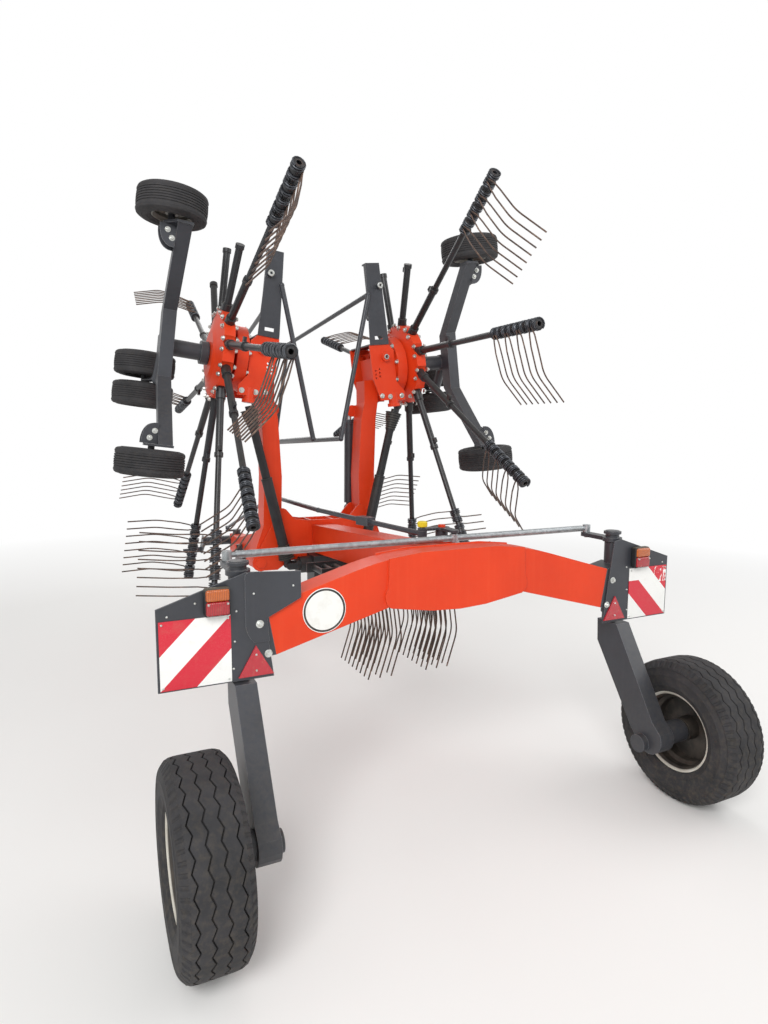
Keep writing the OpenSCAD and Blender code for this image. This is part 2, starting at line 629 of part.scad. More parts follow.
// Small wheels, turned about the rotor plane's own z axis: [ahead, up the plane, side of its outer face]
module at_wheel(w) at_rotor() translate([wheel_d_at, w[0], w[1]]) mirror([0, 0, w[2] < 0 ? 1 : 0]) children();
module small_rim(w) color(cream) at_wheel(w) rotate_extrude($fn = 32) {
    r = small_rim_d / 2;
    h = rim_half(small_w);
    polygon(concat(barrel_out(r, h, small_lip), [[r + small_lip - 7, h], [r - 7, h - 20], [r - 7, 0.5 * h],
        [r - small_lip - 7, 0.36 * h], [46, 0.36 * h], [38, 46], [small_stub / 2 + seat, 46],
        [small_stub / 2 + seat, -46], [38, -46], [46, 10], [r - small_lip - 7, 10],
        [r - small_lip - 7, -0.24 * h], [r - 7, -0.4 * h], [r - 7, -h + 20], [r + small_lip - 7, -h]]));
}
module small_tyre(w) color(rubber) at_wheel(w)
    tyre(small_tyre_d / 2, small_w, small_rim_d / 2, small_lip, 28);
top_at = [rear_wheel[0], rear_wheel[1], 1];
low_at = [rear_wheel[0], -rear_wheel[1], -1];
twins_at = [for (s = [-1, 1]) [front_wheel_y, front_mid + s * twin_pitch / 2, s]];
module left_rim_top() side(-1) small_rim(top_at);
module left_tyre_top() side(-1) small_tyre(top_at);
module left_rim_low() side(-1) small_rim(low_at);
module left_tyre_low() side(-1) small_tyre(low_at);
module left_rims_front() side(-1) for (w = twins_at) small_rim(w);
module left_tyres_front() side(-1) for (w = twins_at) small_tyre(w);
module right_rim_top() small_rim(top_at);
module right_tyre_top() small_tyre(top_at);
module right_rim_low() small_rim(low_at);
module right_tyre_low() small_tyre(low_at);
module right_rims_front() for (w = twins_at) small_rim(w);
module right_tyres_front() for (w = twins_at) small_tyre(w);

// Rotor shell: two dished halves, scalloped between the arms and bored for them
socket_d = arm_d + 18;
shell_bore = collar_d + 1;
module shell(first) color(paint_red) at_rotor() difference() {
    rotate([0, 90, 0]) rotate_extrude($fn = 64)
        polygon([[shell_bore / 2, -shell_t - 6], [150, -shell_t - 6], [190, -shell_t], [shell_r, -36],
            [shell_r, 36], [190, shell_t], [150, shell_t + 14], [shell_bore / 2, shell_t + 14]]);
    for (k = [0 : arm_count - 1]) rotate([first + k * arm_step, 0, 0]) {
        translate([0, arm_offset, shell_r - 62]) cylinder(h = 100, d = socket_d + 2 * seat);
        rotate([arm_step / 2, 0, 0]) translate([-100, arm_offset * 0.3, shell_r + 24]) rotate([0, 90, 0])
            cylinder(h = 200, d = 88, $fn = 24);
    }
}
module left_shell() side(-1) shell(phase[1]);
module right_shell() shell(phase[0]);

// One arm along z in its own axes, with x out to the ground side
module arm(with_bar) translate([0, arm_offset, 0]) {
    translate([0, 0, shell_r - 62 + seat]) cylinder(h = 102, d = socket_d);
    translate([0, 0, shell_r]) cylinder(h = sleeve_reach - shell_r, d = arm_d);
    translate([0, 0, sleeve_reach - 28]) cylinder(h = 28, d = arm_d + 10);
    translate([-9, 10, sleeve_reach - 66]) cube([18, 46, 34]);
    if (with_bar) {
        difference() {
            union() {
                translate([0, 0, sleeve_reach - 20]) cylinder(h = arm_reach - sleeve_reach + 20, d = bar_d);
                for (t = [0 : tines_per_bar - 1]) translate([0, 0, tine_place(t) - holder_w / 2])
                    cylinder(h = holder_w, d = coil_d - 8);
            }
            translate([0, 0, arm_reach - 70]) cylinder(h = 80, d = bar_d - 10);
        }
    }
}
holder_w = 84;
// From a bar's end to its first double tine
bar_end = 44;
function tine_place(t) = arm_reach - bar_end - t * tine_pitch;
module arms(first) color(dark) at_rotor()
    for (k = [0 : arm_count - 1]) rotate([first + k * arm_step, 0, 0]) arm(k >= bar_first && k <= bar_last);
module left_arms() side(-1) arms(phase[1]);
module right_arms() arms(phase[0]);

// How far an arm's tines are turned back, by its angle from the top towards the rear
function turned(a) = 70 * max(0, min(1, (172 - a) / 34)) * (a > 20 ? 1 : 0);
coil_w = 92;
bend_at = 0.56;
bend = 26;
droop = 8;
// A double tine: a coil and two bent wires, pointing along x before it is turned
module double_tine() {
    difference() {
        cylinder(h = coil_w, d = coil_d, center = true, $fn = 20);
        cylinder(h = coil_w + 2, d = coil_d - 8 + 2 * seat, center = true);
    }
    for (s = [-1, 1]) {
        root = [0, -(coil_d / 2 + 1.5), s * tine_pitch / 4];
        knee = root + tine_length * bend_at * [cos(droop), -sin(droop), 0];
        tip = knee + tine_length * (1 - bend_at) * [cos(bend - droop), sin(bend - droop), 0];
        bar(root, knee, wire_d, 8);
        bar(knee - [4, 1, 0], tip, wire_d, 8);
    }
}
module tines(first) color(rust) at_rotor()
    for (k = [bar_first : bar_last]) let (a = first + k * arm_step)
        rotate([a, 0, 0]) for (t = [0 : tines_per_bar - 1])
            translate([0, arm_offset, tine_place(t)]) rotate([0, 0, -turned(a)]) double_tine();
module left_tines() side(-1) tines(phase[1]);
module right_tines() tines(phase[0]);

// Removed tine bars, stored below the main beam with their tines hanging
stored_z = 1086;
stored_rear = axle_y + 430;
stored_length = 930;
stored_x = [110, 180, 250];
stored_plates = [axle_y + 1010, axle_y + 1290];
module stored_bars() color(dark) {
    for (s = [-1, 1]) for (x = stored_x) {
        rod_y(stored_rear, stored_rear + stored_length, s * x, stored_z, bar_d);
        for (t = [0 : tines_per_bar - 1]) let (y = stored_rear + bar_end + t * tine_pitch)
            rod_y(y - holder_w / 2, y + holder_w / 2, s * x, stored_z, coil_d - 8);
    }
    for (p = stored_plates) difference() {
        box([-300, p, stored_z - 30], [300, p + 10, 1200]);
        yz_plate(-301, 602) polygon(main_outline(seat));
    }
}
module stored_tines() color(rust)
    for (s = [-1, 1]) for (x = stored_x) for (t = [0 : tines_per_bar - 1])
        translate([s * x, stored_rear + bar_end + t * tine_pitch, stored_z]) rotate([0, 90, 90]) double_tine();

// Lift cylinders: barrel and rod
cyl_dir = eye_at - cyl_base;
cyl_len = norm(cyl_dir);
cyl_turn = atan2(cyl_dir[0], cyl_dir[1]);
module at_cylinder() translate([cyl_base[0], cyl_y, cyl_base[1]]) rotate([0, cyl_turn, 0]) children();
rod_d = 40;
cyl_pin_d = 30;
eye_pin_d = 28;
module barrel() color(paint_grey) at_cylinder() difference() {
    union() {
        rod_y(-22, 22, 0, 0, 64);
        translate([0, 0, 10]) cylinder(h = 36, d = 42);
        translate([0, 0, 44]) cylinder(h = cyl_len - 112, d = 72);
        translate([0, 0, cyl_len - 96]) cylinder(h = 30, d = 84);
    }
    rod_y(-30, 30, 0, 0, cyl_pin_d + 1);
    translate([0, 0, 60]) cylinder(h = cyl_len, d = rod_d + 2 * seat);
}
module rod() color(steel) at_cylinder() {
    translate([0, 0, 70]) cylinder(h = cyl_len - 90, d = rod_d);
    rod_y(-22, 22, 0, cyl_len, 62);
    rod_y(-26 + seat, 34, 0, cyl_len, eye_pin_d);
}
module left_barrel() side(-1) barrel();
module right_barrel() barrel();
module left_rod() side(-1) rod();
module right_rod() rod();

// Drive shafts from the centre gearbox to the rotors: guard tube with a cone at each end
function from_rotor(d, up) = [rotor_x + d * cos(rotor_lean) - up * sin(rotor_lean),
    rotor_z + d * sin(rotor_lean) + up * cos(rotor_lean)];
shaft_top = from_rotor(neck[0], neck[1] - 22);
shaft_dir = shaft_top - shaft_base;
shaft_len = norm(shaft_dir);
shaft_turn = atan2(shaft_dir[0], shaft_dir[1]);
shaft_split = 0.56;
module at_shaft() translate([shaft_base[0], shaft_y, shaft_base[1]]) rotate([0, shaft_turn, 0]) children();
module shaft() color(dark) at_shaft() difference() {
    union() {
        cylinder(h = 60, d = 52);
        sphere(d = 52);
        translate([0, 0, 52]) cylinder(h = 110, d1 = 116, d2 = 76);
        translate([0, 0, 160]) cylinder(h = shaft_len * shaft_split - 160, d = 74);
    }
    rod_y(-40, 40, 0, 0, cross_d + 1);
    translate([0, 0, 240]) cylinder(h = shaft_len, d = 58 + 2 * seat);
}
module shaft_end() color(dark) at_shaft() {
    translate([0, 0, 250]) cylinder(h = shaft_len - 380, d = 58);
    translate([0, 0, shaft_len - 136]) cylinder(h = 110, d1 = 74, d2 = 112);
    translate([0, 0, shaft_len - 60]) cylinder(h = 60, d = 46);
}
module left_shaft() side(-1) shaft();
module right_shaft() shaft();
module left_shaft_end() side(-1) shaft_end();
module right_shaft_end() shaft_end();

main_beam();
crossbeam();
pivot_frame();
centre_gearbox();
kingpin_housings();
lamp_brackets();
warning_boards();
lamps();
reflectors();
stored_bars();
stored_tines();
headstock();
parking_stand();
left_leg();
right_leg();
left_rim();
right_rim();
left_tyre();
right_tyre();
tie_rod();
steering_lever();
steering_rod();
left_boom();
right_boom();
left_gearbox();
right_gearbox();
left_mast();
right_mast();
left_axle();
right_axle();
left_shell();
right_shell();
left_arms();
right_arms();
left_tines();
right_tines();
left_rim_top();
left_tyre_top();
left_rim_low();
left_tyre_low();
left_rims_front();
left_tyres_front();
right_rim_top();
right_tyre_top();
right_rim_low();
right_tyre_low();
right_rims_front();
right_tyres_front();
left_barrel();
right_barrel();
left_rod();
right_rod();
left_shaft();
right_shaft();
left_shaft_end();
right_shaft_end();
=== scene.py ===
import math

import bmesh
import bpy
from mathutils import Euler, Matrix, Vector


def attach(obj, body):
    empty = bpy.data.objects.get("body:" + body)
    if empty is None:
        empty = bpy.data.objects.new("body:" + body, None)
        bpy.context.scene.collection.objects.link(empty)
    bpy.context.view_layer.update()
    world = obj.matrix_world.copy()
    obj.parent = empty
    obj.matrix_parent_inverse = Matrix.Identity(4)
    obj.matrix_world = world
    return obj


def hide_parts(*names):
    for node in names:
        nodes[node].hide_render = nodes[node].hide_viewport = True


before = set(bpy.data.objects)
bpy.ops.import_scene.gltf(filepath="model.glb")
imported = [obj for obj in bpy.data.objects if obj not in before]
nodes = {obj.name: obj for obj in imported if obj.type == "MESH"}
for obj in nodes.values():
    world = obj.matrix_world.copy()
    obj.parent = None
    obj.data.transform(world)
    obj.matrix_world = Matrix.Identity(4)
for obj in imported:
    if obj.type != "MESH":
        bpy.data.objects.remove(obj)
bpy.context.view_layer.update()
print("frame loaded:", len(nodes), "nodes")

# The photographer stood behind the left wheel
view = {"place": (-1.67, -4.785, 1.956), "turn": 25.76, "down": 6.8, "roll": 0.25, "lens": 23.03,
        "sensor": 36}
camera = bpy.data.objects.new("camera", bpy.data.cameras.new("camera"))
bpy.context.scene.collection.objects.link(camera)
camera.data.lens = view["lens"]
camera.data.sensor_width = view["sensor"]
camera.matrix_world = (Matrix.Translation(view["place"])
                       @ Matrix.Rotation(math.radians(-view["turn"]), 4, "Z")
                       @ Matrix.Rotation(math.radians(90 - view["down"]), 4, "X")
                       @ Matrix.Rotation(math.radians(view["roll"]), 4, "Z"))
bpy.context.scene.camera = camera


# Nodes, for materials and for geometry
class Sock:
    # One output of a node; arithmetic and comparisons on it add Math nodes
    def __init__(self, net, socket):
        self.net = net
        self.socket = socket

    def calc(self, operation, first, second=0.0):
        return self.net.node("ShaderNodeMath", {"operation": operation}, {0: first, 1: second})

    def __add__(self, other):
        return self.calc("ADD", self, other)

    def __radd__(self, other):
        return self.calc("ADD", other, self)

    def __sub__(self, other):
        return self.calc("SUBTRACT", self, other)

    def __rsub__(self, other):
        return self.calc("SUBTRACT", other, self)

    def __mul__(self, other):
        return self.calc("MULTIPLY", self, other)

    def __truediv__(self, other):
        return self.calc("DIVIDE", self, other)

    def __pow__(self, other):
        return self.calc("POWER", self, other)

    def __gt__(self, other):
        return self.calc("GREATER_THAN", self, other)

    def __lt__(self, other):
        return self.calc("LESS_THAN", self, other)

    def most(self, other):
        return self.calc("MAXIMUM", self, other)

    def least(self, other):
        return self.calc("MINIMUM", self, other)

    def absolute(self):
        return self.calc("ABSOLUTE", self)

    def sine(self):
        return self.calc("SINE", self)

    def ramp(self, low, high):  # 0 at low, 1 at high, held outside
        return self.net.node("ShaderNodeMapRange", {}, {0: self, 1: low, 2: high})


class Net:
    def __init__(self, tree):
        self.tree = tree

    def feed(self, target, value):
        if isinstance(value, Sock):
            self.tree.links.new(value.socket, target)
        else:
            target.default_value = value

    # Any node: its type, its settings, then the values or links of its sockets
    def node(self, kind, settings=None, sockets=None, out=0):
        made = self.tree.nodes.new(kind)
        for key, value in (settings or {}).items():
            setattr(made, key, value)
        for key, value in (sockets or {}).items():
            self.feed(made.inputs[key], value)
        return Sock(self, made.outputs[out]) if len(made.outputs) else made

    def seen(self, glossy=1.0):  # 1 for rays that show a surface, glossy for mirrored ones, 0 for light alone
        rays = self.node("ShaderNodeLightPath").socket.node.outputs
        direct, mirror, through = [Sock(self, rays["Is " + kind + " Ray"])
                                   for kind in ("Camera", "Glossy", "Transmission")]
        return direct.most(mirror * glossy).most(through)


def shade(code):  # a screen colour as Blender's linear one
    parts = [int(code[i:i + 2], 16) / 255 for i in (0, 2, 4)]
    return tuple(p / 12.92 if p <= 0.04045 else ((p + 0.055) / 1.055) ** 2.4 for p in parts) + (1.0,)


class Finish(Net):
    # A material on Object coordinates, in metres
    def __init__(self, name, metallic=0.0, coat=0.0, specular=0.5):
        self.material = bpy.data.materials.new(name)
        self.material.use_nodes = True
        Net.__init__(self, self.material.node_tree)
        self.shader = self.tree.nodes["Principled BSDF"]
        for key, value in (("Metallic", metallic), ("Coat Weight", coat), ("Coat Roughness", 0.25),
                           ("Specular IOR Level", specular)):
            self.shader.inputs[key].default_value = value
        self.spot = self.node("ShaderNodeTexCoord", out="Object")
        self.rounded = None

    def axis(self, letter):
        return self.node("ShaderNodeSeparateXYZ", {}, {0: self.spot}, "XYZ".index(letter))

    def noise(self, scale, detail=3.0, rough=0.5, spot=None):
        return self.node("ShaderNodeTexNoise", {}, {"Vector": spot or self.spot, "Scale": scale,
                                                    "Detail": detail, "Roughness": rough})

    def stretched(self, scale):  # coordinates squeezed along each axis, for streaks
        return self.node("ShaderNodeMapping", {}, {"Vector": self.spot, "Scale": scale})

    def upward(self):
        normal = self.node("ShaderNodeTexCoord", out="Normal")
        return self.node("ShaderNodeSeparateXYZ", {}, {0: normal}, 2)

    def mix(self, factor, first, second):
        return self.node("ShaderNodeMix", {"data_type": "RGBA"}, {0: factor, 6: first, 7: second}, 2)

    def edges(self, radius):  # towards 1 within the radius of an edge or corner
        self.rounded = self.node("ShaderNodeBevel", {"samples": 4}, {"Radius": radius})
        plain = self.node("ShaderNodeNewGeometry", out="Normal")
        alike = self.node("ShaderNodeVectorMath", {"operation": "DOT_PRODUCT"},
                          {0: self.rounded, 1: plain}, "Value")
        return (1 - alike).ramp(0.02, 0.16)

    def close(self, colour, roughness, height=None, step=0.001, strength=0.4):
        self.feed(self.shader.inputs["Base Color"], colour)
        self.feed(self.shader.inputs["Roughness"], roughness)
        if height is not None:
            bump = {"Height": height, "Distance": step, "Strength": strength}
            if self.rounded is not None:
                bump["Normal"] = self.rounded
            self.feed(self.shader.inputs["Normal"], self.node("ShaderNodeBump", {}, bump))
        return self.material


# Middle of the right transport wheel
wheelPlace = {"x": 1.290, "y": -2.445, "z": 0.380}

# Paints: sprayed colour, faded in patches, a little dusty, paler along edges with a painted highlight that is
# partly also worn paint, and chipped there
# Each paint's edge colour is a painted highlight along edges, partly also paler worn paint
paints = {
    "redPaint": {"colour": "e23e14", "faded": "e95c32", "deep": "d93910", "edge": "f3805a", "bare": "6b4a3c",
                 "gloss": 0.36, "dust": 0.09, "chips": 0.62, "coat": 0.1, "specular": 0.3},
    "greyPaint": {"colour": "373a41", "faded": "444750", "deep": "2e3036", "edge": "9a9da4", "bare": "857f78",
                  "gloss": 0.36, "dust": 0.06, "chips": 0.60, "coat": 0.15, "specular": 0.5},
    "blackPaint": {"colour": "222429", "faded": "303239", "deep": "17181b", "edge": "62656c",
                   "bare": "6a4a3a", "gloss": 0.36, "dust": 0.06, "chips": 0.58, "coat": 0.1,
                   "specular": 0.5},
}
dustShade = shade("a08f72")


def paintFinish(name, look):
    f = Finish(name, coat=look["coat"], specular=look["specular"])
    patches = f.noise(2.6, 4.0, 0.6)
    specks = f.noise(46.0, 5.0, 0.65)
    streaks = f.noise(1.0, 3.0, 0.6, f.stretched((34.0, 34.0, 1.6)))
    peel = f.noise(420.0, 2.0)
    edge = f.edges(0.0035)
    colour = f.mix(patches.ramp(0.38, 0.68), shade(look["deep"]), shade(look["colour"]))
    colour = f.mix(streaks.ramp(0.5, 0.85) * 0.2, colour, shade(look["faded"]))
    # Painted highlight along edges, partly also paler worn paint: the edge colour near every edge
    colour = f.mix(edge * 0.5, colour, shade(look["edge"]))
    settled = f.upward().ramp(-0.1, 1.0) * 0.8 + f.axis("Z").ramp(0.75, 0.05) * 0.6 + 0.1
    dust = (settled * specks.ramp(0.3, 0.72) * look["dust"] * 1.6).least(0.75)
    colour = f.mix(dust, colour, dustShade)
    chips = (edge * specks.ramp(look["chips"] - 0.09, look["chips"] + 0.02)).least(0.9)
    colour = f.mix(chips, colour, shade(look["bare"]))
    rough = look["gloss"] + dust * 0.45 + patches * 0.12 + chips * 0.2
    return f.close(colour, rough, peel * 0.3 + specks * 0.5 - chips * 0.6, 0.0006, 0.35)


def galvanisedFinish():
    f = Finish("galvanised", metallic=0.85)
    spangle = f.node("ShaderNodeTexVoronoi", {}, {"Vector": f.spot, "Scale": 70.0}, "Color")
    flake = f.node("ShaderNodeSeparateColor", {}, {0: spangle}, 0)
    cloud = f.noise(9.0, 4.0, 0.6)
    edge = f.edges(0.002)
    colour = f.mix(flake * 0.7, shade("9da2a5"), shade("c3c7c9"))
    colour = f.mix(cloud.ramp(0.45, 0.8) * 0.5, colour, shade("8a8a84"))
    return f.close(colour, 0.36 + flake * 0.14 + cloud * 0.14, cloud + edge * 0.2, 0.0005, 0.3)


def boltFinish():
    f = Finish("zincPlate", metallic=0.9)
    cloud = f.noise(60.0, 4.0, 0.6)
    edge = f.edges(0.001)
    colour = f.mix(cloud.ramp(0.45, 0.8), shade("dadcd9"), shade("9a9483"))
    return f.close(colour, 0.2 + cloud * 0.2, cloud + edge * 0.1, 0.0003, 0.4)


def rodFinish():
    f = Finish("chromedRod", metallic=1.0)
    turned = f.noise(1.0, 2.0, 0.5, f.stretched((30.0, 30.0, 900.0)))
    film = f.noise(14.0, 3.0, 0.6)
    colour = f.mix(film.ramp(0.5, 0.8) * 0.4, shade("c9cccf"), shade("8f8d86"))
    return f.close(colour, 0.16 + film * 0.16, turned, 0.0001, 0.2)


def tineFinish():
    # Spring wire: varnish worn to brown rust, with paler patches that are painted highlights
    f = Finish("tineSteel", metallic=0.35)
    patches = f.noise(22.0, 5.0, 0.65)
    grain = f.noise(500.0, 3.0, 0.6)
    colour = f.mix(patches.ramp(0.34, 0.62), shade("423b39"), shade("6b5549"))
    # Painted highlights: the palest colour in the brightest patches of the wire
    colour = f.mix(patches.ramp(0.58, 0.8), colour, shade("9c8674"))
    return f.close(colour, 0.4 + grain * 0.3, grain, 0.0004, 0.5)


def coilFinish():
    # The same wire where it is coiled: black varnish, still glossy, greyer in patches
    f = Finish("coilSteel", metallic=0.45, coat=0.3)
    patches = f.noise(30.0, 4.0, 0.6)
    grain = f.noise(400.0, 3.0, 0.6)
    colour = f.mix(patches.ramp(0.4, 0.7), shade("2b2d32"), shade("565a61"))
    return f.close(colour, 0.22 + patches * 0.2, grain, 0.0003, 0.3)


def rubberFinish():
    # Grey with age in patches, and soiled towards the ground
    f = Finish("tyreRubber", specular=0.35)
    patches = f.noise(7.0, 4.0, 0.65)
    grain = f.noise(650.0, 3.0, 0.7)
    soil = f.noise(40.0, 5.0, 0.7)
    low = f.axis("Z").ramp(0.85, 0.0) * 0.22 + 0.1
    colour = f.mix(patches.ramp(0.35, 0.7), shade("2a2a2c"), shade("3c3b3d"))
    colour = f.mix((soil.ramp(0.46, 0.76) * low).least(0.5), colour, shade("7d705c"))
    return f.close(colour, 0.62 + patches * 0.2 + soil * 0.12, grain + soil * 1.5, 0.0006, 0.5)


def rimFinish(name, pale, deep, lipAt=None):
    # lipAt is the radius, about the transport wheels' axle, inside which the dish is painted dark: painted
    # shade in the hollow of the dish, with some dirt
    f = Finish(name, metallic=0.25)
    patches = f.noise(11.0, 4.0, 0.6)
    specks = f.noise(80.0, 5.0, 0.7)
    edge = f.edges(0.003)
    colour = f.mix(patches.ramp(0.35, 0.7), shade(deep), shade(pale))
    if lipAt:
        ahead, above = f.axis("Y") - wheelPlace["y"], f.axis("Z") - wheelPlace["z"]
        out = (ahead * ahead + above * above) ** 0.5
        # Painted shade in the hollow of the dish, with some dirt: a dark colour inside lipAt
        dishShadeAndDirt = f.mix(patches.ramp(0.4, 0.65), shade("2f2c29"), shade("4d463f"))
        colour = f.mix(out.ramp(lipAt + 0.002, lipAt - 0.002), colour, dishShadeAndDirt)
    rust = (specks.ramp(0.6, 0.72) * (edge * 0.6 + 0.2)).least(0.7)
    colour = f.mix(rust, colour, shade("7c5c45"))
    return f.close(colour, 0.42 + rust * 0.35 + patches * 0.1, specks - edge * 0.3, 0.0005, 0.4)


# Warning boards: their middle and edge, and the two patches of the right one that have lost their red
board = {"x": 1.242, "z": 1.081, "edge": 0.282, "bareInside": 1.168, "bareAbove": 1.152,
         "wornOutside": 1.275, "wornAbove": 1.130}


def boardFinish():
    # Prismatic sheet with slanting stripes, mirrored left and right
    f = Finish("boardSheet", coat=0.35)
    x, z = f.axis("X"), f.axis("Z")
    slant = (z - board["z"] + (x.absolute() - board["x"])) / board["edge"]
    red = (slant > 0.5).most((slant < 0.0) * (slant > -0.5))
    cells = f.node("ShaderNodeTexVoronoi", {"feature": "DISTANCE_TO_EDGE"},
                   {"Vector": f.spot, "Scale": 210.0})
    film = f.noise(18.0, 4.0, 0.6)
    scratches = f.noise(1.0, 5.0, 0.7, f.stretched((60.0, 60.0, 20.0)))
    bared = (x > 0.0) * (z > board["bareAbove"]) * (x < board["bareInside"])
    bared = bared.most((x > board["wornOutside"]) * (z > board["wornAbove"]) * (scratches > 0.56))
    colour = f.mix(red * (1 - bared), shade("f3f3f0"), shade("d20a2c"))
    colour = f.mix(cells.ramp(0.06, 0.0) * 0.12, colour, shade("b9b4ac"))
    colour = f.mix(film.ramp(0.55, 0.9) * 0.2, colour, dustShade)
    return f.close(colour, 0.3 + film * 0.25, cells.ramp(0.0, 0.1), 0.0004, 0.3)


def lensFinish(name, bright, deep, flutes):
    f = Finish(name, coat=0.6, specular=0.6)
    fluted = (f.axis("X") * flutes).sine()
    film = f.noise(30.0, 4.0, 0.6)
    colour = f.mix(fluted.ramp(-1.0, 1.0) * 0.6 + film * 0.3, shade(deep), shade(bright))
    colour = f.mix(film.ramp(0.55, 0.85) * 0.25, colour, dustShade)
    return f.close(colour, 0.14 + film * 0.2, fluted, 0.0008, 0.5)


def plasticFinish(name, dark, pale):
    f = Finish(name, specular=0.4)
    grain = f.noise(700.0, 2.0, 0.6)
    film = f.noise(12.0, 4.0, 0.65)
    colour = f.mix(film.ramp(0.35, 0.75), shade(dark), shade(pale))
    colour = f.mix(f.upward().ramp(0.0, 1.0) * film * 0.4, colour, dustShade)
    return f.close(colour, 0.42 + film * 0.25, grain, 0.0003, 0.4)


# Blank white disc with its black ring, on the crossbeam's rear face; its outline is (radius, depth)
disc = {"x": -0.690, "y": -2.160, "z": 1.190, "gap": 0.0003, "face": 0.0025, "ring": (0.0875, 0.0965),
        "outline": [(0.0, 0.0), (0.094, 0.0), (0.100, 0.0005), (0.100, 0.0020), (0.098, 0.0027),
                    (0.0935, 0.0029), (0.093, 0.0024), (0.0, 0.0024)]}


def discFinish():
    f = Finish("discSheet", coat=0.3)
    middle = (disc["x"], disc["y"] - disc["face"], disc["z"])
    out = f.node("ShaderNodeVectorMath", {"operation": "DISTANCE"}, {0: f.spot, 1: middle}, "Value")
    inked = (out > disc["ring"][0]) * (out < disc["ring"][1])
    film = f.noise(20.0, 4.0, 0.6)
    colour = f.mix(inked, shade("eeeeea"), shade("1a1a1c"))
    colour = f.mix(film.ramp(0.45, 0.85) * 0.25, colour, dustShade)
    return f.close(colour, 0.3 + film * 0.25, film, 0.0003, 0.3)


looks = {name: paintFinish(name, look) for name, look in paints.items()}
looks["galvanised"] = galvanisedFinish()
looks["zincPlate"] = boltFinish()
looks["chromedRod"] = rodFinish()
looks["tineSteel"] = tineFinish()
looks["coilSteel"] = coilFinish()
looks["tyreRubber"] = rubberFinish()
looks["rimPaint"] = rimFinish("rimPaint", "77736b", "5b5751")
looks["dishPaint"] = rimFinish("dishPaint", "dedad0", "c4bfb2", lipAt=0.197)
looks["boardSheet"] = boardFinish()
looks["redLens"] = lensFinish("redLens", "c41a26", "7a0c14", flutes=900.0)
looks["amberLens"] = lensFinish("amberLens", "d8701a", "8e3a0a", flutes=900.0)
looks["reflectorLens"] = lensFinish("reflectorLens", "d8142e", "980d1e", flutes=1300.0)
looks["guardPlastic"] = plasticFinish("guardPlastic", "1b1c1e", "2b2c2f")
looks["capPlastic"] = plasticFinish("capPlastic", "e3c81f", "f0d83a")
looks["discSheet"] = discFinish()

# The finish of each CAD node, also of those that a piece stands for
finishes = {
    "redPaint": ["main_beam", "crossbeam", "pivot_frame", "boom", "gearbox", "shell"],
    "greyPaint": ["kingpin_housings", "lamp_brackets", "headstock", "parking_stand", "leg", "steering_lever",
                  "mast", "axle", "barrel", "steering_rod"],
    "blackPaint": ["centre_gearbox", "stored_bars", "arms", "lamps"],
    "galvanised": ["tie_rod"],
    "chromedRod": ["rod"],
    "tineSteel": ["tines", "stored_tines"],
    "tyreRubber": ["tyre", "tyre_top", "tyre_low", "tyres_front"],
    "rimPaint": ["rim_top", "rim_low", "rims_front"],
    "dishPaint": ["rim"],
    "boardSheet": ["warning_boards"],
    "reflectorLens": ["reflectors"],
    "guardPlastic": ["shaft", "shaft_end"],
}
for look, names in finishes.items():
    for name in names:
        for node in (name, "left_" + name, "right_" + name):
            if node in nodes:
                nodes[node].data.materials.clear()
                nodes[node].data.materials.append(looks[look])
print("finishes made:", len(looks))

# Shared geometry; paired pieces are modelled for the right side and mirrored for the left
sides = ("right", "left")
rotor = {"x": 0.703, "y": -0.190, "z": 2.481, "lean": 6.83, "phase": {"right": 57.3, "left": 65.4},
         "arms": 11, "barred": 8, "armOffset": 0.080}
still = Matrix.Identity(4)
atRotor = (Matrix.Translation((rotor["x"], rotor["y"], rotor["z"]))
           @ Matrix.Rotation(math.radians(-rotor["lean"]), 4, "Y"))
alongBack = Matrix.Rotation(math.radians(-90), 4, "Z")  # the x axis turned to the rear


def armAngle(side, k):
    return rotor["phase"][side] + k * 360 / rotor["arms"]


def atArm(side, k):
    return atRotor @ Matrix.Rotation(math.radians(armAngle(side, k)), 4, "X")


def rotorWay(*direction):  # a direction in the rotor's frame
    return atRotor.to_3x3() @ Vector(direction)


def facing(point, normal, spin=0.0):  # a place whose z runs along the normal
    turn = Vector(normal).to_track_quat("Z", "Y").to_matrix().to_4x4()
    return Matrix.Translation(point) @ turn @ Matrix.Rotation(spin, 4, "Z")


def linked(name, data):
    made = bpy.data.objects.new(name, data)
    bpy.context.scene.collection.objects.link(made)
    return made


def meshFrom(name, points, faces):
    mesh = bpy.data.meshes.new(name)
    mesh.from_pydata([tuple(p) for p in points], [], faces)
    return mesh


def released(work):  # the finished bmesh as a mesh
    mesh = bpy.data.meshes.new("shape")
    work.to_mesh(mesh)
    work.free()
    return mesh


def lathe(profile, steps, closed=False):
    # Profile of (radius, along x), turned about x
    points, rings = [], []
    for radius, along in profile:
        count = steps if radius > 1e-6 else 1
        rings.append(list(range(len(points), len(points) + count)))
        for i in range(count):
            angle = 2 * math.pi * i / steps
            points.append((along, radius * math.sin(angle), radius * math.cos(angle)))
    faces = []
    for low, high in zip(rings, rings[1:] + rings[:1] if closed else rings[1:]):
        for i in range(steps):
            j = i + 1
            quad = [low[i % len(low)], low[j % len(low)], high[j % len(high)], high[i % len(high)]]
            faces.append(list(dict.fromkeys(quad)))
    return meshFrom("lathe", points, faces)


def joined(parts):
    # Parts are (mesh, place); the normals of each closed shell are made to point out
    work = bmesh.new()
    for mesh, place in parts:
        copy = mesh.copy()
        copy.transform(place)
        work.from_mesh(copy)
        bpy.data.meshes.remove(copy)
    bmesh.ops.recalc_face_normals(work, faces=work.faces)
    return released(work)


def welded(mesh):
    # Points that lie together become one, so that seams are closed
    work = bmesh.new()
    work.from_mesh(mesh)
    bmesh.ops.remove_doubles(work, verts=work.verts, dist=0.00001)
    return released(work)


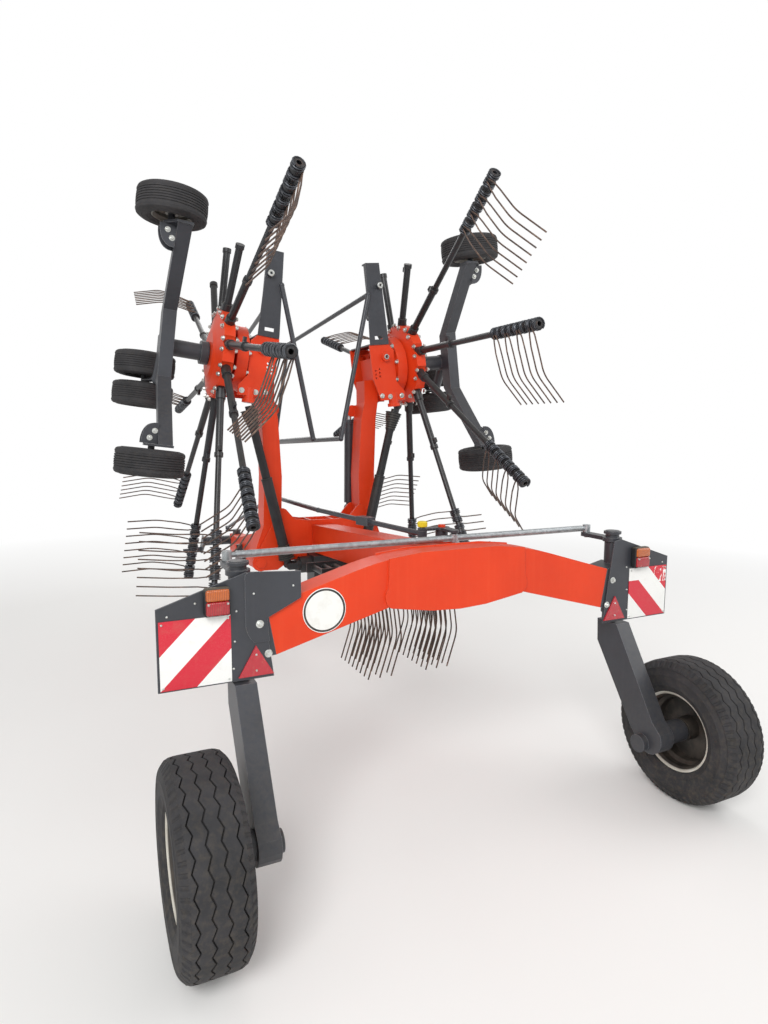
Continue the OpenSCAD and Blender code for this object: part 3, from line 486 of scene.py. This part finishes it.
def roundedBox(low, high, bevel):
    work = bmesh.new()
    bmesh.ops.create_cube(work, size=1.0)
    for vertex in work.verts:
        vertex.co = [low[i] + (high[i] - low[i]) * (vertex.co[i] + 0.5) for i in range(3)]
    bmesh.ops.bevel(work, geom=work.edges[:], offset=bevel, segments=4, affect="EDGES", profile=0.5)
    return released(work)


def settle(name, mesh, look, body, replaced=(), angle=35):
    # The finished piece on its body
    piece = linked(name, mesh)
    mesh.name = name
    mesh.materials.clear()
    mesh.materials.append(looks[look])
    mesh.shade_smooth()
    mesh.set_sharp_from_angle(angle=math.radians(angle))
    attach(piece, body)
    if replaced:
        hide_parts(*replaced)


def settleSide(side, label, mesh, look, body, slot, replaced=(), angle=35):
    # One of a pair; its body and the nodes it replaces are named without their side
    if side == "left":
        mesh.transform(Matrix.Diagonal((-1, 1, 1, 1)))
        mesh.flip_normals()
    settle(side + label, mesh, look, side + "_" + body, [side + "_" + node for node in replaced], angle)


# Geometry Nodes
def newTree(name, sockets):
    tree = bpy.data.node_groups.new(name, "GeometryNodeTree")
    tree.interface.new_socket("Geometry", in_out="INPUT", socket_type="NodeSocketGeometry")
    for label, kind in sockets:
        tree.interface.new_socket(label, in_out="INPUT", socket_type="NodeSocket" + kind)
    tree.interface.new_socket("Geometry", in_out="OUTPUT", socket_type="NodeSocketGeometry")
    net = Net(tree)
    entry = tree.nodes.new("NodeGroupInput")
    given = {socket.name: Sock(net, socket) for socket in entry.outputs if socket.name}
    return net, given


def closeTree(net, given, instances):
    real = net.node("GeometryNodeRealizeInstances", {}, {0: instances})
    painted = net.node("GeometryNodeSetMaterial", {}, {"Geometry": real, "Material": given["Material"]})
    net.node("NodeGroupOutput", {}, {0: painted})
    return net.tree


def onPoints(net, given, shape):
    turn = net.node("GeometryNodeInputNamedAttribute", {"data_type": "FLOAT_VECTOR"}, {"Name": "turn"})
    turned = net.node("FunctionNodeEulerToRotation", {}, {0: turn})
    return net.node("GeometryNodeInstanceOnPoints", {}, {"Points": given["Geometry"], "Instance": shape,
                                                         "Rotation": turned})


def drum(net, count, radius, depth, rise=None):  # an upright prism, its middle raised by rise
    made = net.node("GeometryNodeMeshCylinder", {}, {"Vertices": count, "Radius": radius, "Depth": depth})
    if rise is None:
        return made
    lift = net.node("ShaderNodeCombineXYZ", {}, {2: rise})
    return net.node("GeometryNodeTransform", {}, {"Geometry": made, "Translation": lift})


def boltTree():
    # At each point a washer, a hexagon head and the bolt's own round end
    net, given = newTree("bolts", [("Width", "Float"), ("Height", "Float"), ("Washer", "Float"),
                                   ("Material", "Material")])
    width, height, washer, half = given["Width"], given["Height"], 0.004, 0.002
    head = drum(net, 6, width * 0.577, height, height * 0.5 + half)
    end = drum(net, 10, width * 0.32, height * 0.4, height * 1.1 + half)
    flat = drum(net, 18, given["Washer"] * 0.5, washer)
    shape = net.node("GeometryNodeJoinGeometry")
    for part in (head, end, flat):
        net.tree.links.new(part.socket, shape.socket.node.inputs[0])
    return closeTree(net, given, onPoints(net, given, shape))


def wireTree():
    # A round wire along the path, copied to each point
    net, given = newTree("wires", [("Path", "Object"), ("Wire", "Float"), ("Sides", "Int"),
                                   ("Material", "Material")])
    path = net.node("GeometryNodeObjectInfo", {}, {"Object": given["Path"]}, "Geometry")
    curve = net.node("GeometryNodeMeshToCurve", {}, {0: path})
    ring = net.node("GeometryNodeCurvePrimitiveCircle", {}, {"Resolution": given["Sides"],
                                                             "Radius": given["Wire"] * 0.5})
    tube = net.node("GeometryNodeCurveToMesh", {}, {"Curve": curve, "Profile Curve": ring, "Fill Caps": True})
    return closeTree(net, given, onPoints(net, given, tube))


def aroundTree():
    # Copies of one pitch round the x axis
    net, given = newTree("around", [("Pitch", "Object"), ("Count", "Int"), ("Material", "Material")])
    shape = net.node("GeometryNodeObjectInfo", {}, {"Object": given["Pitch"]}, "Geometry")
    points = net.node("GeometryNodePoints", {}, {"Count": given["Count"]})
    index = net.node("GeometryNodeInputIndex")
    turn = net.node("ShaderNodeCombineXYZ", {}, {0: index * (2 * math.pi) / given["Count"]})
    turned = net.node("FunctionNodeEulerToRotation", {}, {0: turn})
    copies = net.node("GeometryNodeInstanceOnPoints", {}, {"Points": points, "Instance": shape,
                                                           "Rotation": turned})
    return closeTree(net, given, copies)


trees = {"bolts": boltTree(), "wires": wireTree(), "around": aroundTree()}


def hostOf(name, points, edges=(), turns=None):
    mesh = bpy.data.meshes.new(name)
    mesh.from_pydata([tuple(p) for p in points], list(edges), [])
    if turns is not None:
        turn = mesh.attributes.new("turn", "FLOAT_VECTOR", "POINT")
        turn.data.foreach_set("vector", [c for t in turns for c in t])
    return linked(name, mesh)


def grown(host, tree, inputs):
    # The tree's result as a plain mesh; the host goes
    modifier = host.modifiers.new("grow", "NODES")
    modifier.node_group = trees[tree]
    for item in trees[tree].interface.items_tree:
        if item.in_out == "INPUT" and item.name in inputs:
            modifier[item.identifier] = inputs[item.name]
    result = bpy.data.meshes.new_from_object(host.evaluated_get(bpy.context.evaluated_depsgraph_get()))
    host.modifiers.remove(modifier)
    bpy.data.objects.remove(host)
    return result


def atPlaces(tree, places, inputs):
    host = hostOf(tree, [p.to_translation() for p in places], (), [p.to_euler() for p in places])
    return grown(host, tree, inputs)


def boltsAt(places, width, height=None, washer=None):
    return atPlaces("bolts", places, {"Width": width, "Height": height or width * 0.6,
                                      "Washer": washer or width * 1.7, "Material": looks["zincPlate"]})


# Width across flats, height and washer of each kind of bolt; the rest follows the width
boltSizes = {"bracket": (0.019, 0.010, 0.034), "rivet": (0.007, 0.003, 0.009), "shell": (0.021, 0.011, 0.032),
             "boom": (0.022,), "stud": (0.020,), "nut": (0.022, 0.016)}

# Transport tyres: carcass with ribbed flanks, and a tread of zigzag ribs between shoulder lugs
bigTyre = {"radius": 0.380, "width": 0.256, "seat": 0.1943, "lip": 0.0178, "tread": 0.010, "fall": 0.0304,
           "pitches": 32, "rows": 8, "zigzag": 0.0075, "ribs": [-0.052, 0.0, 0.052], "ribWidth": 0.046,
           "wall": 0.001, "bevel": 0.002, "drop": 0.0012, "lug": (0.0805, 0.122), "notch": 0.009,
           "shoulder": [(0.76, 0.945), (0.86, 0.86), (0.94, 0.66)]}
# Flank: share of the wall's height above the bead, and share of the tyre's half width
flank = [(0.0, 0.885), (0.04, 0.90), (0.16, 0.962), (0.19, 0.99), (0.22, 0.976), (0.38, 0.995),
         (0.52, 0.985), (0.55, 1.0), (0.58, 0.975)]


def carcass(spec):
    # Closed profile from bead to bead; the beads end in the rim's lips, and fine rings run round the flanks
    r, c, seat = spec["radius"] - spec["tread"], spec["width"] / 2, spec["seat"]
    beadIn, beadOut, level, cavity = 0.62 * c, 0.82 * c, 0.4 * c, 0.55 * c
    bead, floorAt = seat + spec["lip"], seat + 0.02
    foot = bead + 0.006
    wall = r - foot
    outer = [(seat, beadIn), (bead, beadIn), (bead + 0.0002, beadOut)]
    outer += [(foot + share * wall, out * c) for share, out in flank + spec["shoulder"]]
    outer += [(r, level), (r, 0.0)]
    inner = [(floorAt, -cavity), (floorAt, cavity)]
    return outer + [(a, -b) for a, b in outer[-2::-1]] + inner


def crown(spec, across):  # the tread's surface, falling off over the outer half of each side
    share = min(abs(across) / (spec["width"] / 2), 1.0)
    return spec["radius"] - spec["fall"] * max(0.0, (share - 0.5) / 0.5) ** 2


def treadPitch(spec):
    # One pitch: ribs between zigzag grooves, and a shoulder rib each side, notched at its outer edge
    points, faces = [], []
    step = 2 * math.pi / spec["pitches"]
    rows, wall, bevel, drop = spec["rows"], spec["wall"], spec["bevel"], spec["drop"]
    base = spec["radius"] - spec["tread"] - 0.002
    near, far = spec["lug"]
    edge, end = near + 0.4 * (far - near), near + 0.85 * (far - near)

    def top(across):
        return crown(spec, across)

    def put(across, share, radius):
        angle = step * share
        points.append((across, radius * math.sin(angle), radius * math.cos(angle)))
        return len(points) - 1

    def skin(sections):
        for a, b in zip(sections, sections[1:]):
            faces.extend([a[j], a[j + 1], b[j + 1], b[j]] for j in range(len(a) - 1))

    def shift(share):
        return spec["zigzag"] * (1 - 4 * abs(share - 0.5))

    for middle in spec["ribs"]:
        sections = []
        for i in range(rows + 1):
            share = i / rows
            left = middle - spec["ribWidth"] / 2 + shift(share)
            right = middle + spec["ribWidth"] / 2 + shift(share)
            section = [(left - wall, base), (left, top(left) - drop), (left + bevel, top(left)),
                       (middle, top(middle)), (right - bevel, top(right)), (right, top(right) - drop),
                       (right + wall, base)]
            sections.append([put(across, share, radius) for across, radius in section])
        skin(sections)
    for way in (1, -1):
        sections = []
        for i in range(2 * rows + 1):
            share = i / (2 * rows)
            notch = spec["notch"] if i % rows in (0, 1, rows - 1) else 0.0
            inner = near + way * shift(share)
            section = [(inner - wall, base), (inner, top(inner) - drop), (inner + bevel, top(inner)),
                       (edge, top(edge)), (edge + 0.003, top(edge) - notch), (end, top(far) - 0.001 - notch),
                       (far, top(far) - 0.011 - 0.4 * notch), (far + 0.0015, base - 0.028),
                       (far - 0.0025, base - 0.040)]
            sections.append([put(way * across, share, radius) for across, radius in section])
        skin(sections)
    return linked("pitch", meshFrom("pitch", points, faces))


pitch = treadPitch(bigTyre)
tread = welded(grown(hostOf("tread", [(0, 0, 0)]), "around",
                     {"Pitch": pitch, "Count": bigTyre["pitches"], "Material": looks["tyreRubber"]}))
bpy.data.objects.remove(pitch)
bigCarcass = lathe(carcass(bigTyre), steps=96, closed=True)
atWheel = Matrix.Translation((wheelPlace["x"], wheelPlace["y"], wheelPlace["z"]))
for side in sides:
    settleSide(side, "TransportTyre", joined([(bigCarcass, atWheel), (tread, atWheel)]), "tyreRubber",
               "wheel", "tyre_rubber", ["tyre"], angle=30)
print("transport tyres made")

# Rotor tyres: narrow ribs right round the crown; cuts is each rib's edge and its groove's three corners
smallTyre = {"radius": 0.205, "width": 0.164, "seat": 0.1018, "lip": 0.0148, "tread": 0.0, "fall": 0.004,
             "ribs": 7, "crown": 0.62, "groove": 0.0045, "cuts": (0.0010, 0.0038, 0.0030, 0.0006),
             "shoulder": [(0.80, 0.93), (0.93, 0.84), (0.993, 0.66)]}


def ribbedCarcass(spec):
    # The carcass with its flat crown cut into ribs
    profile = carcass(spec)
    middle = [p for p in profile if p[0] > spec["radius"] * 0.998]
    first, last = profile.index(middle[0]), profile.index(middle[-1])
    half = spec["crown"] * spec["width"] / 2
    start, end, wall, foot = spec["cuts"]
    ribs = []
    for i in range(spec["ribs"]):
        a = half - 2 * half * i / spec["ribs"]
        b = half - 2 * half * (i + 1) / spec["ribs"]
        r = spec["radius"] - spec["fall"] * abs(2 * (i + 0.5) / spec["ribs"] - 1) ** 2
        ribs += [(r, a - start), (r, b + end), (r - spec["groove"], b + wall), (r - spec["groove"], b + foot)]
    return profile[:first] + ribs[:-2] + profile[last + 1:]


# Each small wheel's label, body and node, and its places in the rotor's frame
smallWheels = [("Top", "wheel_top", "tyre_top", [(0.430, -0.390, 0.760)]),
               ("Low", "wheel_low", "tyre_low", [(0.430, -0.390, -0.760)]),
               ("sFront", "wheels_front", "tyres_front", [(0.430, 0.410, -0.100), (0.430, 0.410, -0.310)])]
smallCarcass = lathe(ribbedCarcass(smallTyre), steps=72, closed=True)
upright = Matrix.Rotation(math.radians(-90), 4, "Y")
for side in sides:
    for label, body, node, spots in smallWheels:
        mesh = joined([(smallCarcass, atRotor @ Matrix.Translation(s) @ upright) for s in spots])
        settleSide(side, "Tyre" + label, mesh, "tyreRubber", body, "tyre_rubber", [node], angle=30)
print("rotor tyres made")

# Double tines: two packs of coils round their holder, and two wires bent once; lead is how each wire
# leaves its coil: (along, below the coil, outwards)
tine = {"coil": 0.0335, "wire": 0.0092, "sides": 6, "turns": 2.7, "apart": 0.028, "pack": 0.036,
        "lead": [(0.0, 0.0, 0.0), (0.014, 0.0, 0.003), (0.045, 0.004, 0.012)], "root": 0.0345,
        "length": 0.480, "bendAt": 0.56, "down": 8, "up": 18, "first": 1.601, "pitch": 0.112, "count": 4}
# Degrees: tines of arms past from are turned back by full, easing off over the last stretch before until
cam = {"full": 70, "from": 20, "until": 172, "easing": 34}
# Spare tines hang from bars under the beam, in rows along it
stored = {"x": (0.110, 0.180, 0.250), "y": -1.655, "first": 0.044, "z": 1.086}


def coilPath(way):
    # Round the holder, ending at the foot of the wire
    steps = int(tine["turns"] * 14)
    start, end = tine["apart"] + tine["pack"] / 2, tine["apart"] - tine["pack"] / 2
    path = []
    for i in range(steps + 1):
        share = i / steps
        angle = math.radians(-90) - (1 - share) * tine["turns"] * 2 * math.pi
        path.append(Vector((tine["coil"] * math.cos(angle), tine["coil"] * math.sin(angle),
                            way * (start + (end - start) * share))))
    return path


def sloped(degrees):
    return Vector((math.cos(math.radians(degrees)), math.sin(math.radians(degrees)), 0.0))


def wirePath(way):
    # Off the coil, straight to the bend, and on to the tip
    foot = way * (tine["apart"] - tine["pack"] / 2)
    root = Vector((0.0, -tine["root"], way * tine["apart"]))
    knee = root + tine["length"] * tine["bendAt"] * sloped(-tine["down"])
    tip = knee + tine["length"] * (1 - tine["bendAt"]) * sloped(tine["up"])
    path = [Vector((along, -tine["coil"] - below, foot + way * out)) for along, below, out in tine["lead"]]
    path += [knee + (root - knee) * s for s in (0.6, 0.3)]
    early, late = knee + (root - knee) * 0.16, knee + (tip - knee) * 0.22
    for i in range(7):  # the bend, as a curve between its two straights
        s = i / 6
        path.append(early * (1 - s) ** 2 + knee * 2 * s * (1 - s) + late * s ** 2)
    path += [knee + (tip - knee) * s for s in (0.6, 1.0)]
    return path


def turnedBack(angle):
    if angle <= cam["from"]:
        return 0.0
    return cam["full"] * max(0.0, min(1.0, (cam["until"] - angle) / cam["easing"]))


def tinePlaces(side):
    return [atArm(side, k) @ Matrix.Translation((0, rotor["armOffset"], tine["first"] - t * tine["pitch"]))
            @ Matrix.Rotation(math.radians(-turnedBack(armAngle(side, k))), 4, "Z")
            for k in range(rotor["barred"]) for t in range(tine["count"])]


hung = Euler((0, math.radians(90), math.radians(90))).to_matrix().to_4x4()
storedPlaces = [Matrix.Translation((way * x, stored["y"] + stored["first"] + t * tine["pitch"], stored["z"]))
                @ hung for way in (1, -1) for x in stored["x"] for t in range(tine["count"])]


def tinesAt(places, pathOf, look):
    parts = []
    for way in (1, -1):
        path = pathOf(way)
        line = hostOf("path", path, [(i, i + 1) for i in range(len(path) - 1)])
        parts.append((atPlaces("wires", places, {"Path": line, "Wire": tine["wire"], "Sides": tine["sides"],
                                                 "Material": looks[look]}), still))
        bpy.data.objects.remove(line)
    return joined(parts)


tineKinds = (("Coils", coilPath, "coilSteel"), ("Wires", wirePath, "tineSteel"))
for side in sides:
    for label, pathOf, look in tineKinds:
        settleSide(side, label, tinesAt(tinePlaces(side), pathOf, look), look, "rotor", "tine_steel",
                   ["tines"], angle=60)
for label, pathOf, look in tineKinds:
    settle("stored" + label, tinesAt(storedPlaces, pathOf, look), look, "frame",
           ["stored_tines"], angle=60)
print("tines made")

# The disc lies flat on the beam
discPlace = Matrix.Translation((disc["x"], disc["y"] - disc["gap"], disc["z"])) @ alongBack
discMesh = joined([(lathe(disc["outline"], steps=64), discPlace)])
settle("blankDisc", discMesh, "discSheet", "frame")

# Rear lamps: dark tub, amber lens over a red one
lamp = {"low": (1.106, -2.2163, 1.228), "high": (1.210, -2.1686, 1.344), "tubRound": 0.010,
        "lensRound": 0.009, "proud": 0.010, "rim": 0.005, "lensDeep": 0.030, "split": (0.062, 0.063)}
(x0, y0, z0), (x1, y1, z1) = lamp["low"], lamp["high"]


def lensBox(low, high):
    return roundedBox((x0 + lamp["rim"], y0, low), (x1 - lamp["rim"], y0 + lamp["lensDeep"], high),
                      lamp["lensRound"])


lampParts = [
    ("LampTubs", "guardPlastic", "guard_black",
     roundedBox((x0, y0 + lamp["proud"], z0), (x1, y1, z1), lamp["tubRound"])),
    ("LampAmber", "amberLens", "lamp_lens", lensBox(z0 + lamp["split"][1], z1 - lamp["rim"])),
    ("LampRed", "redLens", "lamp_lens", lensBox(z0 + lamp["rim"], z0 + lamp["split"][0])),
]
for label, look, slot, mesh in lampParts:
    both = joined([(mesh, still), (mesh, Matrix.Diagonal((-1, 1, 1, 1)))])
    settle("rear" + label, both, look, "frame", ["lamps"])

# Ribbed guard cones and tubes of the drive shafts; top is in the rotor's frame
shaft = {"base": (0.285, -0.350, 1.020), "top": (-0.190, -0.160, -0.322), "split": 0.56}
shaftLine = atRotor @ Vector(shaft["top"]) - Vector(shaft["base"])
atShaft = facing(shaft["base"], shaftLine) @ upright


def cone(start, end, big, little, ribs):
    # Bellows along the cone: a crest and a dip for each rib
    def along(share):
        return start + (end - start) * share

    profile = []
    for i in range(ribs):
        a, b = i / ribs, (i + 0.5) / ribs
        wide, thin = big + (little - big) * a, big + (little - big) * b - 0.0045
        profile += [(wide, along(a + 0.08 / ribs)), (wide, along(a + 0.34 / ribs)),
                    (thin, along(b)), (thin, along(b + 0.3 / ribs))]
    return profile


# Both profiles run from the shaft's foot: yoke, bellows and tube, then tube, bellows and yoke
length = shaftLine.length
mouth, collar = length * shaft["split"], length - 0.026
lower = [(0.0, 0.0), (0.024, 0.0), (0.026, 0.012), (0.026, 0.052), (0.050, 0.052)]
lower += cone(start=0.054, end=0.162, big=0.058, little=0.040, ribs=7)
lower += [(0.0372, 0.168), (0.0372, mouth - 0.012), (0.0395, mouth - 0.010), (0.0395, mouth), (0.030, mouth),
          (0.0, mouth)]
upper = [(0.0, 0.250), (0.029, 0.250), (0.029, length - 0.170)]
folds = cone(start=0.054, end=0.192, big=0.061, little=0.035, ribs=8)
upper += [(r, collar - (x - 0.054)) for r, x in reversed(folds)]
upper += [(0.050, collar), (0.023, collar), (0.023, length), (0.0, length)]
for side in sides:
    for label, profile, node in (("Guard", lower, "shaft"), ("GuardEnd", upper, "shaft_end")):
        settleSide(side, label, joined([(lathe(profile, steps=40), atShaft)]), "guardPlastic", node,
                   "guard_black", [node], angle=40)
print("disc, lamps and shafts made")

# Bolts, rivets and screws on the rear faces of the brackets, cover plate, boards, reflectors and lamps
rearward = (0, -1, 0)
bracketFace, coverFace, boardFace, reflectorFace = -2.1683, -2.1733, -2.1713, -2.1756
bothSides = (1, -1)
# Turn of a bolt about itself for each metre across, so that the heads stand differently
boltTurns = {"bracket": 9, "plate": 7, "stud": 40}
frameBolts = [facing((x, y, z), rearward, x * boltTurns["bracket"]) for x, y, z in (
    (0.981, bracketFace, 1.168), (0.945, bracketFace, 1.035),
    (-0.981, coverFace, 1.168), (-0.945, bracketFace, 1.035))]
settle("bracketBolts", boltsAt(frameBolts, *boltSizes["bracket"]), "zincPlate", "frame")
rivetSpots = [
    (bracketFace, bothSides, [(1.077, 1.233), (1.086, 1.106), (1.093, 0.991), (1.241, 1.283),
                              (1.350, 1.240)]),
    (boardFace, bothSides, [(1.112, 0.952), (1.372, 0.952), (1.112, 1.210), (1.372, 1.210)]),
    (reflectorFace, bothSides, [(0.999, 0.972), (0.999, 1.040)]),
    (coverFace, (1,), [(-1.005, 1.300), (-0.835, 1.318)]),
    (y0, bothSides, [(1.120, 1.281), (1.196, 1.281)]),
]
rivets = [facing((way * x, y, z), rearward)
          for y, ways, spots in rivetSpots for way in ways for x, z in spots]
settle("bracketRivets", boltsAt(rivets, *boltSizes["rivet"]), "zincPlate", "frame")

# Bolts and steel fittings of each rotor, in its frame or its arms'; small turns keep the heads out of line
shellBolts = {"radius": 0.281, "x": 0.0425, "apart": 0.034, "normal": (0.97, 0.24), "turn": 0.3}
ringBolts = {"x": -0.150, "radius": 0.204, "count": 10, "start": 12, "turn": 0.4}
plateBolts = {"y": 0.186, "rearBelow": 0.02, "spots": [(-0.330, 0.120), (-0.290, -0.215), (-0.180, 0.090),
                                                       (-0.130, -0.225), (-0.225, -0.225), (-0.255, 0.125)]}
sleeve = {"at": (-0.237, -0.212, 0.062),
          "outline": [(0.012, -0.020), (0.0187, -0.020), (0.0187, 0.006), (0.0167, 0.008), (0.013, 0.008),
                      (0.012, 0.007)]}
gusset = {"rear": (-0.432, -0.348), "beam": 0.404, "reach": 0.092, "high": 0.6445, "drop": 0.128,
          "thick": 0.008, "bulge": (0.8, 0.9), "studs": [(0.045, 0.034), (0.018, 0.078)]}
latch = {"at": (-0.240, -0.2248, 0.560),
         "outline": [(0.008, 0.0), (0.019, 0.0), (0.0215, 0.003), (0.0215, 0.009), (0.018, 0.012),
                     (0.010, 0.012), (0.008, 0.009)]}
wheelNuts = {"out": 0.049, "radius": 0.072, "count": 6}


def shellPlaces(side):
    places = []
    for k in range(rotor["arms"]):
        arm = atArm(side, k)
        for face in (1, -1):
            for way in (-1, 1):
                spot = Vector((face * shellBolts["x"], rotor["armOffset"] + way * shellBolts["apart"],
                               shellBolts["radius"]))
                out = arm.to_3x3() @ Vector((face * shellBolts["normal"][0], 0, shellBolts["normal"][1]))
                places.append(facing(arm @ spot, out, shellBolts["turn"]))
    return places


def gearboxPlaces():
    # A ring round the rotor's hub, and both bracket plates; the rear one has its boss above its bolts
    places = []
    for i in range(ringBolts["count"]):
        turn = 360 / ringBolts["count"] * i + ringBolts["start"]
        hub = atRotor @ Matrix.Rotation(math.radians(turn), 4, "X")
        spot = hub @ Vector((ringBolts["x"], 0.0, ringBolts["radius"]))
        places.append(facing(spot, hub.to_3x3() @ Vector((-1, 0, 0)), ringBolts["turn"]))
    for way in (-1, 1):
        for x, z in plateBolts["spots"]:
            if way > 0 or z < plateBolts["rearBelow"]:
                spot = atRotor @ Vector((x, way * plateBolts["y"], z))
                places.append(facing(spot, rotorWay(0, way, 0), x * boltTurns["plate"]))
    return places


def cheek(up, middle):
    # Plate with a quarter of an oval for its free edge
    outline = [(gusset["beam"], gusset["high"])]
    for degrees in range(0, 91, 10):
        a = math.radians(degrees)
        outline.append((gusset["beam"] + gusset["reach"] * math.cos(a) ** gusset["bulge"][0],
                        gusset["high"] - gusset["drop"] * math.sin(a) ** gusset["bulge"][1]))
    points = [(x, middle + half, up * z) for half in (-gusset["thick"] / 2, gusset["thick"] / 2)
              for x, z in outline]
    n = len(outline)
    faces = [list(range(n)), list(range(2 * n - 1, n - 1, -1))]
    faces += [[i, n + i, n + (i + 1) % n, (i + 1) % n] for i in range(n)]
    return meshFrom("cheek", points, faces)


def studPlaces():
    rearFace = gusset["rear"][0] - gusset["thick"] / 2
    return [facing(atRotor @ Vector((gusset["beam"] + x, rearFace, up * (gusset["high"] - z))),
                   rotorWay(0, -1, 0), x * boltTurns["stud"]) for up in (1, -1) for x, z in gusset["studs"]]


def nutPlaces():
    places = []
    for i in range(wheelNuts["count"]):
        a = 2 * math.pi * i / wheelNuts["count"]
        out, radius = wheelNuts["out"], wheelNuts["radius"]
        spot = atWheel @ Vector((out, radius * math.sin(a), radius * math.cos(a)))
        places.append(facing(spot, (1, 0, 0), a))
    return places


def turnedFitting(spec):
    return joined([(lathe(spec["outline"], steps=32, closed=True),
                    atRotor @ Matrix.Translation(spec["at"]) @ alongBack)])


zinc = ("zincPlate", "boom", "galvanised")
for side in sides:
    shellMesh = boltsAt(shellPlaces(side), *boltSizes["shell"])
    settleSide(side, "ShellBolts", shellMesh, "zincPlate", "rotor", "galvanised")
    settleSide(side, "BoomBolts", boltsAt(gearboxPlaces(), *boltSizes["boom"]), *zinc)
    settleSide(side, "Sleeve", turnedFitting(sleeve), *zinc)
    cheeks = joined([(cheek(up, middle), atRotor) for up in (1, -1) for middle in gusset["rear"]])
    settleSide(side, "Gussets", cheeks, "greyPaint", "boom", "grey_paint")
    studs = boltsAt(studPlaces(), *boltSizes["stud"])
    settleSide(side, "Latch", joined([(studs, still), (turnedFitting(latch), still)]), *zinc)
    nuts = boltsAt(nutPlaces(), *boltSizes["nut"])
    settleSide(side, "WheelNuts", nuts, "zincPlate", "wheel", "galvanised")
print("bolts and fittings made")

# Yellow cap over the pin between the steering lever and its rod
cap = {"at": (0.020, -1.755, 1.464), "outline": [(0.0, 0.0), (0.024, 0.0), (0.027, 0.004), (0.027, 0.024),
                                                 (0.022, 0.030), (0.010, 0.032), (0.0, 0.032)]}
capMesh = joined([(lathe(cap["outline"], steps=28), facing(cap["at"], (0, 0, 1)) @ upright)])
settle("rodCap", capMesh, "capPlastic", "steering_lever")

# Floor, which turns to the white of the surroundings away from the machine
area = {"x": 30, "back": -30, "front": 40, "fadeFrom": 4.0, "fadeTo": 9.0}
corners = [(-area["x"], area["back"], 0), (area["x"], area["back"], 0),
           (area["x"], area["front"], 0), (-area["x"], area["front"], 0)]
ground = meshFrom("floor", corners, [(0, 1, 2, 3)])
f = Finish("floorPale")
ground.materials.append(f.close(f.mix(f.noise(0.4, 2.0), shade("efeeec"), shade("f3f2f0")), 0.9))
distance = f.node("ShaderNodeVectorMath", {"operation": "LENGTH"}, {0: f.spot}, "Value")
white = f.node("ShaderNodeEmission", {}, {"Color": (1, 1, 1, 1), "Strength": 1.0})
faded = f.node("ShaderNodeMixShader", {}, {0: distance.ramp(area["fadeFrom"], area["fadeTo"]) * f.seen(),
                                           1: Sock(f, f.shader.outputs[0]), 2: white})
f.feed(f.tree.nodes["Material Output"].inputs["Surface"], faded)
floor = linked("floor", ground)

# Light: name, place, size and power of each soft lamp, aimed at the machine
aim = Vector((0, -0.5, 1.4))
lights = [("key", (-5.0, -8.0, 6.5), 4.0, 560.0), ("fill", (7.0, -4.0, 5.0), 6.0, 210.0),
          ("back", (2.0, 8.0, 6.0), 6.0, 230.0)]
for name, place, size, power in lights:
    light = linked(name, bpy.data.lights.new(name, "AREA"))
    light.data.size, light.data.energy = size, power
    light.matrix_world = facing(place, Vector(place) - aim)

# Surroundings: white where they are seen, dimmer in glossy paint, and dimmer still as light
surround = {"lit": 0.56, "glossy": 0.5}
world = bpy.data.worlds.new("studio")
world.use_nodes = True
sky = Net(world.node_tree)
backdrop = world.node_tree.nodes["Background"]
backdrop.inputs["Color"].default_value = (1, 1, 1, 1)
sky.feed(backdrop.inputs["Strength"], surround["lit"] + sky.seen(surround["glossy"]) * (1 - surround["lit"]))
bpy.context.scene.world = world
bpy.context.scene.view_settings.view_transform = "Standard"
print("stage set")

for tree in trees.values():
    bpy.data.node_groups.remove(tree)
